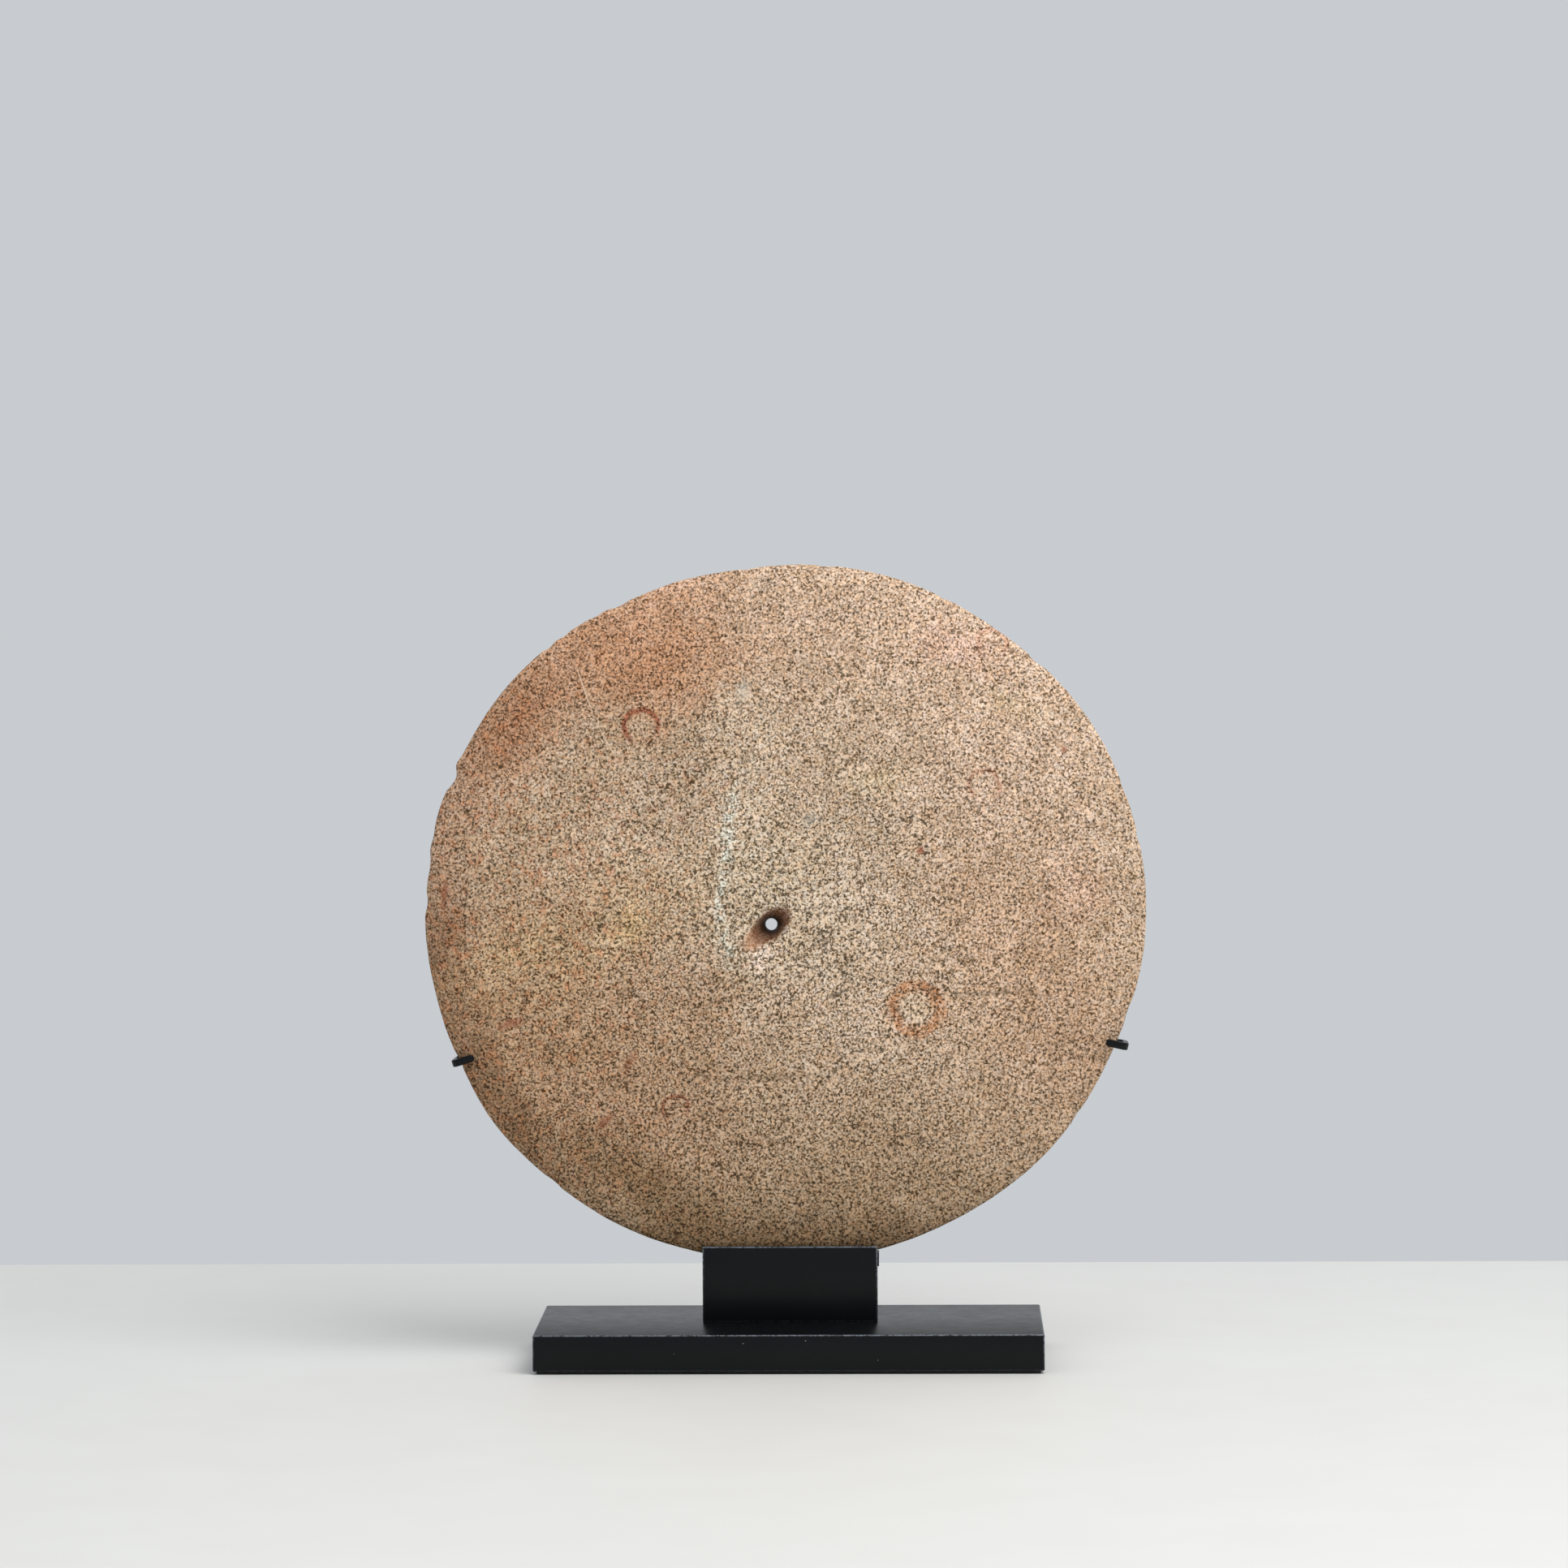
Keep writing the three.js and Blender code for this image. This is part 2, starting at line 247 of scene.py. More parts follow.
def half_section(mouth, side):
    """Points (radius, depth) from the throat to just short of the rim, on one face."""
    mouth_radius = round_mouth(mouth)
    shares = [step / FUNNEL_RINGS for step in range(FUNNEL_RINGS)]
    funnel = [(funnel_reach(mouth_radius, share), side * funnel_depth(share)) for share in shares]
    face = [(radius, side * half_thickness(radius)) for radius in face_radii(mouth_radius)]
    return funnel + face


section = half_section(FRONT_MOUTH, -1) + [(MEAN_RADIUS, 0.0)]
section += half_section(BACK_MOUTH, 1)[::-1]
print("rings in the section:", len(section))

# %% [markdown]
# Spin carries the section's line round the drill's axis and fills in faces behind it. The last
# step lands on the first, so the doubles along that seam are merged, and the faces are then
# turned outwards, because Spin doesn't know which side is the stone.


# %% Spin the section
def spin_disc():
    """The drilled disc as a round doughnut about the drill's axis."""
    start_clean()
    mesh = bpy.data.meshes.new("drilled_stone")
    places = [(DRILL.x + radius, depth, DRILL.z) for radius, depth in section]
    edges = [(ring, (ring + 1) % len(places)) for ring in range(len(places))]
    mesh.from_pydata(places, edges, [])
    stone = bpy.data.objects.new("drilled_stone", mesh)
    bpy.context.scene.collection.objects.link(stone)
    edit(stone)
    bpy.ops.mesh.select_all(action="SELECT")
    bpy.ops.mesh.spin(steps=SPIN_STEPS, angle=2 * math.pi, center=DRILL, axis=(0, 1, 0))
    bpy.ops.mesh.select_all(action="SELECT")
    bpy.ops.mesh.remove_doubles(threshold=HAIR)
    bpy.ops.mesh.normals_make_consistent(inside=False)
    bpy.ops.object.mode_set(mode="OBJECT")
    return stone


stone = spin_disc()
count_faces(stone)

# %% [markdown]
# ## From a round to an ellipse, and an oval mouth
#
# The stone isn't quite round: it is a little longer along a line tipped up to the right, and
# the hole isn't quite in its middle. Each ring slides by its share of the way, so the rings
# stay evenly spread, and the whole is then stretched along its long line.

# %% Slide the rings and stretch the disc
SLIDE = DISC_CENTRE - DRILL


def away_from_drill(place):
    """How far a place is from the drill's axis."""
    return math.hypot(place.x - DRILL.x, place.z - DRILL.z)


def stretch(turn, along, across, about):
    """Scales the selection along a turned line and across it, in the plane of the disc."""
    turn_flat(-turn, about)
    bpy.ops.transform.resize(value=(along, 1, across), center_override=about)
    turn_flat(turn, about)


def slide_rings(stone):
    """Moves each ring of both faces towards the disc's own centre, the rim all the way."""
    for mouth in (FRONT_MOUTH, BACK_MOUTH):
        side = -1 if mouth is FRONT_MOUTH else 1
        for radius in face_radii(round_mouth(mouth))[1:]:
            depth = side * half_thickness(radius)
            chosen(stone, lambda place: abs(place.y - depth) < HAIR
                   and abs(away_from_drill(place) - radius) < HAIR)
            bpy.ops.transform.translate(value=SLIDE * (radius / MEAN_RADIUS))
    chosen(stone, lambda place: abs(place.y) < HAIR and away_from_drill(place) > MEAN_RADIUS / 2)
    bpy.ops.transform.translate(value=SLIDE)


edit(stone)
slide_rings(stone)
# The stretch leaves the two funnels and their mouths as round as the drill made them.
chosen(stone, lambda place: away_from_drill(place) > 2 * max(FRONT_MOUTH))
stretch(LONG_AXIS_TIP, LONG_HALF / MEAN_RADIUS, SHORT_HALF / MEAN_RADIUS, DISC_CENTRE)
print("centre moved from the drill, in mm:", round(SLIDE.length / MM, 1))

# %% [markdown]
# The front funnel is a slanting oval, because the drill was rocked in it, and the back one is
# nearly round. Each ring is squeezed by its own share: not at all at the throat, where only
# the drill's tip worked, and the most at the mouth.


# %% Make the mouths oval
def make_oval(stone, mouth, side, turn):
    """Squeezes one funnel's rings from circles to ovals, more so towards the mouth."""
    mouth_radius = round_mouth(mouth)
    for step in range(1, FUNNEL_RINGS + 1):
        share = step / FUNNEL_RINGS
        reach = funnel_reach(mouth_radius, share)
        depth = side * funnel_depth(share) if step < FUNNEL_RINGS else side * half_thickness(reach)
        chosen(stone, lambda place: abs(place.y - depth) < HAIR
               and away_from_drill(place) < mouth_radius * 1.5)
        long, short = (funnel_reach(axis, share) / reach for axis in mouth)
        stretch(turn, long, short, DRILL)


make_oval(stone, FRONT_MOUTH, -1, FRONT_MOUTH_TURN)
make_oval(stone, BACK_MOUTH, 1, 0.0)
bpy.ops.object.mode_set(mode="OBJECT")
print("stone, in mm:", [round(side / MM, 1) for side in stone.dimensions])

# %% [markdown]
# ## A rim worked by hand
#
# Nobody ground this rim to a template: it swells and falls short by about a millimetre as it
# goes round. Proportional editing is made for that: a few points of the rim are pulled out or
# pushed in, and what is near them follows, less and less with distance. A Subdivision Surface
# then rounds the coarse net into a smooth stone.

# %% Swell the rim
# (degrees round from the right, rise in mm, spread in degrees)
SWELLS = [
    (34, 0.55, 7), (53, -0.35, 5), (72, 0.45, 6), (98, -1.15, 7), (114, -0.75, 4),
    (138, 1.35, 9), (162, 0.5, 5), (175, -0.7, 3), (193, -0.95, 8), (205, -0.5, 3),
    (217, 0.55, 4), (243, 0.55, 5), (314, 0.3, 5), (338, -1.2, 8),
]
# A soft falloff reaches this many times as far as the bell curve of the same width.
REACH_OF_SPREAD = 2.4
# How near the named place a point must be to be taken hold of.
SWELL_GRIP = 3.5 * MM
CHIP_GRIP = 1.6 * MM


def rim_reach(angle):
    """Distance from the disc's centre to its plain elliptical rim, at an angle in degrees."""
    along = math.radians(angle) - LONG_AXIS_TIP
    across = math.hypot(SHORT_HALF * math.cos(along), LONG_HALF * math.sin(along))
    return LONG_HALF * SHORT_HALF / across


def outward(angle):
    """The way out from the disc's centre, at an angle in degrees from the right."""
    return Vector((math.cos(math.radians(angle)), 0, math.sin(math.radians(angle))))


def pull_rim(stone, angle, rise, size, grip):
    """Moves the rim near an angle out by a rise, with a soft falloff of a given size."""
    place = DISC_CENTRE + outward(angle) * rim_reach(angle)
    chosen(stone, lambda point: (point - place).length < grip)
    bpy.ops.transform.translate(
        value=outward(angle) * rise,
        use_proportional_edit=True,
        proportional_edit_falloff="SMOOTH",
        proportional_size=size,
    )


edit(stone)
for angle, rise, spread in SWELLS:
    size = math.radians(spread) * MEAN_RADIUS * REACH_OF_SPREAD
    pull_rim(stone, angle, rise * MM, size, SWELL_GRIP)
bpy.ops.object.mode_set(mode="OBJECT")
finish_with(stone, "SUBSURF", levels=2, render_levels=2)
count_faces(stone)

# %% [markdown]
# Old knocks have taken small flakes out of the rim. Each is a pull of the same kind, only
# sharper and a few millimetres wide, and one raises a little burr. They come after the
# subdivision, now that the mesh is fine enough to hold them.

# %% Chip the rim
# (degrees, rise in mm, size in mm)
CHIPS = [
    (157.6, -1.7, 6), (155.2, 0.5, 4), (172, -0.6, 6), (178, -0.7, 5), (118, -0.6, 5),
    (96, -0.5, 5), (344, -0.5, 6), (131, -0.6, 3), (128, -0.45, 2.5), (122, -0.4, 3),
    (45, -0.7, 3.5), (12, -0.5, 3), (167, -0.4, 3), (83, -0.4, 3), (204, -0.5, 4),
    (229, -0.45, 4), (325, -0.4, 4), (20, -0.35, 3), (63, -0.4, 3.5),
]
edit(stone)
for angle, rise, size in CHIPS:
    pull_rim(stone, angle, rise * MM, size * MM, CHIP_GRIP)
bpy.ops.object.mode_set(mode="OBJECT")
print("chips in the rim:", len(CHIPS))

# %% [markdown]
# ## The worn surface as real relief
#
# Pecking leaves shallow hollows, grinding levels them, and soil then eats at the softer
# grains. Three Displace modifiers with cloud textures of falling size do that to the mesh
# itself, so that the relief is in the shape and not only in the shading. A Decimate at the
# end keeps the points where the stone is rough and drops them where it is smooth.

# %% Wear the stone
# (name, size of the hollows in mm, depth in mm, depth of detail)
WEAR = [
    ("ground_hollows", 38.0, 0.5, 1),
    ("pecked_hollows", 9.0, 0.34, 2),
    ("open_grain", 2.6, 0.3, 2),
]
# Above a half, so that wear takes away more than it raises and the stone doesn't grow.
WEAR_MIDDLE = 0.62
STONE_KEEP = 0.5


def wear(stone, name, size, depth, detail):
    """Pushes the surface in, and a little less out, by a cloud of a given size."""
    cloud = bpy.data.textures.new(name, "CLOUDS")
    # The plain basis leaves faint straight lines in a low light, and this one doesn't.
    cloud.noise_basis = "IMPROVED_PERLIN"
    cloud.noise_scale = size * MM
    cloud.noise_depth = detail
    finish_with(stone, "DISPLACE", texture=cloud, texture_coords="LOCAL",
                strength=depth * MM, mid_level=WEAR_MIDDLE)


for name, size, depth, detail in WEAR:
    wear(stone, name, size, depth, detail)
finish_with(stone, "DECIMATE", ratio=STONE_KEEP)
take(stone)
bpy.ops.object.shade_smooth()
print("stone, in mm:", [round(side / MM, 1) for side in stone.dimensions])

# %% [markdown]
# ## A finish is a small recipe of nodes
#
# Every finish below is a tree of nodes that reads the place on the piece and works out colour,
# roughness and bump from it. Building one in code means adding nodes and joining them, so
# `Finish` keeps the tree and gives each step a short name. Places come from the Object
# coordinates, turned to millimetres, because a grain size is easier to think of in those.


# %% A finish and its steps
# A patch goes right through the stone, so depth counts for next to nothing in it.
THROUGH = 1.0e4


def tone(red, green, blue):
    """A colour as a colour card gives it, 0 to 255, turned to the light it sends back."""
    shares = [level / 255 for level in (red, green, blue)]
    return [s / 12.92 if s <= 0.04045 else ((s + 0.055) / 1.055) ** 2.4 for s in shares]


class Finish:
    """A material being mixed: its node tree, its shader and places on the piece in mm."""

    def __init__(self, name, centre=(0, 0, 0)):
        self.material = bpy.data.materials.new(name)
        self.material.use_nodes = True
        self.tree = self.material.node_tree
        self.shader = self.tree.nodes["Principled BSDF"]
        coordinates = self.tree.nodes.new("ShaderNodeTexCoord")
        to_mm = self.tree.nodes.new("ShaderNodeMapping")
        to_mm.inputs["Scale"].default_value = (1 / MM,) * 3
        to_mm.inputs["Location"].default_value = [-part / MM for part in centre]
        self.tree.links.new(coordinates.outputs["Object"], to_mm.inputs["Vector"])
        self.place = to_mm.outputs["Vector"]

    def put(self, socket, value):
        """Joins an output to a socket, or sets a plain number or colour on it."""
        if isinstance(value, bpy.types.NodeSocket):
            self.tree.links.new(value, socket)
        elif socket.type == "RGBA":
            socket.default_value = (*value, 1.0)
        else:
            socket.default_value = value

    def add(self, kind, *values, **settings):
        """A node with its settings, and its enabled inputs filled in order."""
        node = self.tree.nodes.new(kind)
        for key, value in settings.items():
            setattr(node, key, value)
        sockets = [socket for socket in node.inputs if socket.enabled]
        for socket, value in zip(sockets, values):
            if value is not None:
                self.put(socket, value)
        return node

    def maths(self, operation, *values):
        """Simple arithmetic: ADD, MULTIPLY, MAXIMUM and so on."""
        return self.add("ShaderNodeMath", *values, operation=operation).outputs[0]

    def ease(self, value, low, high, start=0.0, end=1.0):
        """Goes smoothly from start to end as the value goes from low to high."""
        node = self.add("ShaderNodeMapRange", value, low, high, start, end,
                        interpolation_type="SMOOTHSTEP")
        return node.outputs[0]

    def layer(self, share, under, over, how="MIX"):
        """One colour over another, by a share from 0 to 1."""
        node = self.tree.nodes.new("ShaderNodeMix")
        node.data_type = "RGBA"
        node.blend_type = how
        self.put(node.inputs["Factor"], share)
        self.put(node.inputs[6], under)
        self.put(node.inputs[7], over)
        return node.outputs[2]

    def cloud(self, place, size, detail=2.0, roughness=0.5, distortion=0.0):
        """Soft noise with lumps of about a size in mm, from 0 to 1 with most near 0.5."""
        node = self.tree.nodes.new("ShaderNodeTexNoise")
        self.put(node.inputs["Vector"], place)
        self.put(node.inputs["Scale"], 1.0 / size)
        self.put(node.inputs["Detail"], detail)
        self.put(node.inputs["Roughness"], roughness)
        self.put(node.inputs["Distortion"], distortion)
        return node.outputs["Fac"], node.outputs["Color"]

    def cells(self, place, size):
        """Cells of about a size in mm: the distance in them and each one's own colour."""
        node = self.tree.nodes.new("ShaderNodeTexVoronoi")
        self.put(node.inputs["Vector"], place)
        self.put(node.inputs["Scale"], 1.0 / size)
        return node.outputs["Distance"], node.outputs["Color"]

    def shifted(self, place, by, reach):
        """A place pushed about by a colour's noise, by up to half a reach each way."""
        centred = self.add("ShaderNodeVectorMath", by, (0.5,) * 3, operation="SUBTRACT")
        scaled = self.add("ShaderNodeVectorMath", centred.outputs[0], operation="SCALE")
        self.put(scaled.inputs["Scale"], reach)
        added = self.add("ShaderNodeVectorMath", place, scaled.outputs[0], operation="ADD")
        return added.outputs[0]

    def reach_from(self, place, centre, size, turn=0.0):
        """How far out a place is from a patch's centre: 1 on the edge of its ellipse."""
        node = self.tree.nodes.new("ShaderNodeMapping")
        node.vector_type = "TEXTURE"
        self.put(node.inputs["Vector"], place)
        node.inputs["Location"].default_value = (centre[0], 0, centre[1])
        node.inputs["Rotation"].default_value = (0, -math.radians(turn), 0)
        node.inputs["Scale"].default_value = (size[0], THROUGH, size[1])
        length = self.add("ShaderNodeVectorMath", node.outputs[0], operation="LENGTH")
        return length.outputs["Value"]

    def patch(self, place, centre, size, turn=0.0, soft=1.0):
        """Share 1 in the middle of an ellipse, dying out over its soft edge."""
        reach = self.reach_from(place, centre, size, turn)
        return self.ease(reach, 1.0 + soft / 2, max(1.0 - soft, 0.0))

    def stroke(self, place, start, end, width, soft=0.8):
        """A patch drawn from one point to another."""
        run = Vector(end) - Vector(start)
        middle = (Vector(start) + Vector(end)) / 2
        turn = math.degrees(math.atan2(run.y, run.x))
        return self.patch(place, middle, (run.length / 2 + width, width), turn, soft)


# %% [markdown]
# ## The stone's colour
#
# The rock is a fine, even mix of cream laths and dots in a darker, olive groundmass, and the
# whole face is washed by broad stains: iron red along the upper left, ochre in a slanting band,
# pale cream up the middle and pink to the right. Towards the bottom rim it is darker and browner.
# So the finish has two layers. A tint says what the rock would be if its grain were blurred away,
# and a grain field from dark to light multiplies it. That keeps the same speckle under every
# stain, as in the real rock.

# %% Begin the stone's finish
mix = Finish("speckled_stone", DISC_CENTRE)
# The lamps show the stone's face this much lighter than its own colour.
LAMP_SHARE = 1.05


def rock(red, green, blue):
    """A tint of the stone as the lamps show it, turned to the rock's own colour."""
    return [part / LAMP_SHARE for part in tone(red, green, blue)]


# The two faces were stained apart, so behind the rim the clouds are read from far away.
depth = mix.add("ShaderNodeSeparateXYZ", mix.place).outputs[1]
on_front = mix.ease(depth, 1.5, -1.5)
far_away = mix.add("ShaderNodeCombineXYZ", mix.ease(depth, 0.0, 7.0, 0.0, 90.0)).outputs[0]
cloud_place = mix.add("ShaderNodeVectorMath", mix.place, far_away, operation="ADD").outputs[0]
# Lumps push the borders of the stains about in broad waves, and crumbs make them ragged.
lumps = mix.cloud(cloud_place, 26, detail=3, roughness=0.55)[1]
crumbs = mix.cloud(mix.place, 5, detail=2, roughness=0.6)[1]
stain_place = mix.shifted(mix.shifted(mix.place, lumps, 34), crumbs, 7)
print("the finish reads places in mm from:", [round(part / MM, 2) for part in DISC_CENTRE])

# %% [markdown]
# A stain could be painted by hand on an image, but it would then be only as sharp as the image
# and would need the disc unwrapped. Here each is a soft ellipse, with its border pushed about
# by the two clouds above, and thirty of them over one another leave no ellipse to be seen.

# %% Broad stains of the stone
# Each stain is (centre, half size, turn, softness, strength, colour), in mm and degrees from
# the disc's centre. A later one lies over those before it.
STAINS = [
    ((60, 10), (110, 120), 0, 1.2, 0.75, rock(195, 171, 148)),
    ((-100, -60), (70, 60), -40, 1.2, 0.75, rock(163, 128, 96)),
    ((10, -125), (150, 58), 0, 1.1, 0.85, rock(158, 131, 102)),
    ((102, -20), (46, 74), 20, 1.1, 0.75, rock(190, 155, 126)),
    ((95, 70), (60, 44), -40, 1.0, 0.6, rock(206, 176, 152)),
    ((40, 118), (90, 34), -8, 1.0, 0.7, rock(205, 174, 149)),
    ((-62, 128), (48, 18), 22, 0.9, 0.7, rock(196, 150, 120)),
    ((-56, 104), (52, 25), 8, 0.9, 0.9, rock(179, 132, 99)),
    ((-113, 80), (36, 21), 60, 1.0, 0.85, rock(158, 108, 76)),
    ((-138, 34), (12, 40), -10, 0.9, 0.6, rock(172, 134, 108)),
    ((-140, -24), (15, 42), 10, 0.9, 0.85, rock(132, 96, 70)),
    ((-84, -10), (92, 22), 24, 0.9, 0.6, rock(183, 153, 118)),
    ((-14, 30), (16, 78), 0, 0.9, 0.6, rock(200, 179, 154)),
    ((-4, 6), (46, 36), 0, 1.0, 0.5, rock(190, 173, 149)),
    ((-34, -46), (26, 36), 0, 0.9, 0.7, rock(166, 136, 108)),
    ((-62, -88), (46, 22), -12, 0.9, 0.5, rock(174, 139, 111)),
    ((-40, 52), (30, 20), 20, 0.9, 0.6, rock(178, 154, 130)),
    # These three make the stone darker and browner along the bottom and lower-left rim, just above
    # the block.
    ((0, -142), (112, 17), 0, 1.1, 0.85, rock(106, 82, 54)),
    ((-62, -112), (44, 17), -28, 1.0, 0.7, rock(124, 96, 64)),
    ((-117, -84), (52, 11), -53, 1.0, 0.75, rock(116, 84, 56)),
    ((122, -58), (26, 30), 30, 1.0, 0.6, rock(166, 134, 107)),
    ((-62, 26), (15, 9), 10, 0.9, 0.5, rock(204, 180, 152)),
    ((-92, 22), (12, 8), 0, 0.9, 0.4, rock(198, 170, 142)),
    ((-65, -4), (12, 6), 30, 0.9, 0.5, rock(194, 164, 118)),
    ((-107, -17), (12, 7), 20, 0.9, 0.4, rock(186, 156, 114)),
    ((39, 56), (16, 9), 10, 0.9, 0.35, rock(196, 174, 134)),
    ((96, 86), (13, 8), -30, 0.9, 0.35, rock(206, 182, 144)),
    ((72, 110), (18, 9), -25, 0.9, 0.5, rock(214, 172, 152)),
    ((119, 9), (12, 20), 0, 0.9, 0.4, rock(204, 164, 140)),
    ((-10, -14), (8, 4.5), 20, 0.8, 0.6, rock(222, 196, 178)),
]
tint = rock(183, 156, 129)
for centre, size, turn, soft, strength, colour in STAINS:
    share = mix.patch(stain_place, centre, size, turn, soft)
    tint = mix.layer(mix.maths("MULTIPLY", share, strength), tint, colour)
print("stains on the stone:", len(STAINS))

# %% [markdown]
# No patch of real stone is one flat colour, so two clouds vary the tint: a broad one from paler
# to deeper, and a fine one from greener to redder. Rust has also crept between the grains in
# small flecks, most of all down the left side.


# %% Vary the tint and fleck it with rust
def varied(size, detail, spans):
    """The tint times a soft cloud that runs each of its colours between two shares."""
    lump = mix.cloud(mix.place, size, detail=detail, roughness=0.6)[0]
    shares = [mix.ease(lump, 0.25, 0.75, low, high) for low, high in spans]
    variation = mix.add("ShaderNodeCombineColor", *shares).outputs[0]
    return mix.layer(1.0, tint, variation, how="MULTIPLY")


tint = varied(14, 4, ((0.90, 1.10), (0.88, 1.12), (0.84, 1.15)))
tint = varied(2.0, 1, ((1.05, 0.95), (0.99, 1.01), (0.90, 1.10)))
flecks = mix.ease(mix.cloud(mix.place, 3.2, detail=3, roughness=0.65)[0], 0.48, 0.68)
rusted = mix.patch(stain_place, (-112, 10), (92, 150), 0, 1.2)
fleck_share = mix.maths("MULTIPLY_ADD", rusted, 0.5, 0.14)
tint = mix.layer(mix.maths("MULTIPLY", flecks, fleck_share), tint, rock(172, 110, 70))
print("nodes in the finish so far:", len(mix.tree.nodes))

# %% [markdown]
# ## Rings and a vein
#
# Iron-stained rings the size of a coin show where minerals weathered out of the rock, and a
# pale, crusted vein wanders down left of the hole. Two thin lines of dirt run across lower
# down. All have soaked into the stone and leave its grain to be seen, so they change the tint
# and lie under the speckle.

# %% Soak rings, the vein and dirt into the tint
ring_place = mix.shifted(mix.place, crumbs, 3.0)


def ring(centre, radius, width, gap=0.0, gap_at=-90, place=ring_place):
    """A ring of a radius and width, left open over a share of it around an angle."""
    reach = mix.reach_from(place, centre, (radius, radius))
    off = mix.maths("ABSOLUTE", mix.maths("SUBTRACT", reach, 1.0))
    share = mix.ease(off, width / radius, 0.2 * width / radius)
    if gap:
        toward = outward(gap_at) * radius
        opening = (centre[0] + toward.x, centre[1] + toward.z)
        hidden = mix.patch(ring_place, opening, (radius * gap, radius * gap), 0, 0.8)
        share = mix.maths("MULTIPLY", share, mix.maths("SUBTRACT", 1.0, hidden))
    return share


rusty = mix.ease(mix.cloud(mix.place, 2.2, detail=2)[0], 0.36, 0.6, 0.35, 1.0)
wide_ring = ring((54.6, -39.3), 9.7, 4.0, place=mix.shifted(ring_place, crumbs, 2.5))
# (share, strength, colour)
soaked = [
    (ring((-58.8, 78.4), 7.0, 1.9, gap=1.1, gap_at=-70), 0.88, rock(144, 82, 56)),
    (mix.patch(ring_place, (-58.8, 78.0), (5.2, 5.2), 0, 0.6), 0.4, rock(204, 178, 150)),
    (mix.maths("MULTIPLY", wide_ring, rusty), 0.85, rock(176, 120, 78)),
    (mix.patch(ring_place, (54.6, -39.3), (6.2, 6.2), 0, 0.6), 0.4, rock(200, 176, 146)),
    (ring((83.3, 53.4), 6.4, 1.5, gap=0.9), 0.6, rock(170, 118, 90)),
    (ring((86.6, 112.2), 5.8, 1.5, gap=0.9), 0.5, rock(180, 128, 100)),
    (ring((-45.8, -80.6), 5.4, 1.2, gap=1.2, gap_at=-80), 0.8, rock(136, 82, 56)),
]
PALE_VEIN = [
    (-20.3, 51.5), (-22.7, 39.7), (-23.8, 26.3), (-26.2, 9.4), (-26.6, -0.7), (-22.4, -21),
]
broken = mix.ease(mix.cloud(mix.place, 3.0, detail=3)[0], 0.36, 0.6)
for start, end in zip(PALE_VEIN, PALE_VEIN[1:]):
    clots = mix.maths("MULTIPLY", mix.stroke(ring_place, start, end, 3.0), broken)
    soaked.append((clots, 0.68, rock(204, 204, 190)))
DIRTY_LINES = [((72, -33.4), (112, -32.4)), ((-29, -68.6), (18, -65.9))]
for start, end in DIRTY_LINES:
    dirty_line = mix.maths("MULTIPLY", mix.stroke(ring_place, start, end, 1.7), rusty)
    soaked.append((dirty_line, 0.7, rock(118, 96, 72)))


def lay_on(under, marks):
    """Lays marks of (share, strength, colour) over a colour, on the front face only."""
    for share, strength, colour in marks:
        seen = mix.maths("MULTIPLY", mix.maths("MULTIPLY", share, strength), on_front)
        under = mix.layer(seen, under, colour)
    return under


tint = lay_on(tint, soaked)
print("rings, lengths of vein and lines of dirt:", len(soaked))

# %% [markdown]
# ## Grain
#
# Seen close, the light grains are short laths and dots about a millimetre and a half apart, and
# what shows between them is a net of thin dark lines. A cloud about a millimetre wide, pushed
# about by a second one so that its lumps interlock, gives the laths. Small cells give each spot
# a lightness of its own, and a coarse cloud gathers the grains in groups. The dark net lies
# where one more cloud passes its middle value, which is a thin winding line.

# %% The pattern of the grain
NET_HALF_WIDTH = 0.06
NET_DARKENS = -0.26
NET_LIGHTENS = 0.06
CLEAR_AT_RIM = 0.97
CLEAR_IN_MIDDLE = 1.22
flow = mix.cloud(mix.place, 0.9, detail=2, roughness=0.6)[1]
grain_place = mix.shifted(mix.place, flow, 0.8)
own_light = mix.add("ShaderNodeSeparateColor", mix.cells(grain_place, 1.2)[1]).outputs[0]
laths = mix.cloud(grain_place, 0.92, detail=0.7, roughness=0.5, distortion=0.6)[0]
coarse = mix.cloud(mix.place, 3.6, detail=2, roughness=0.55)[0]
worms = mix.maths("SUBTRACT", mix.cloud(grain_place, 1.6, detail=0)[0], 0.5)
off_line = mix.maths("ABSOLUTE", worms)
net = mix.ease(off_line, 0.0, NET_HALF_WIDTH, NET_DARKENS, NET_LIGHTENS)
# (field, how much it counts)
FIELDS = [(laths, 2.45), (own_light, 0.16), (coarse, 0.26)]
pattern = net
for field, counts in FIELDS:
    pattern = mix.maths("MULTIPLY_ADD", mix.maths("SUBTRACT", field, 0.5), counts, pattern)
# The grain stands out most in the middle of the face, and less where the rim has weathered.
middle = mix.patch(stain_place, (-5, -50), (115, 130), 0, 1.2)
clear = mix.ease(middle, 0.0, 1.0, CLEAR_AT_RIM, CLEAR_IN_MIDDLE)
grain = mix.maths("MULTIPLY_ADD", pattern, clear, 0.5)
print("fields in the grain:", len(FIELDS) + 1)

# %% [markdown]
# The grain so far is a number, 0 for the darkest grain and 1 for the lightest. A ramp turns it
# into shares of the tint in red, green and blue: the dark end is also browner, and the light
# end is paler. A ramp's colours stop at 1, so the shares are divided by the most there can be,
# and the product is scaled up again by as much.

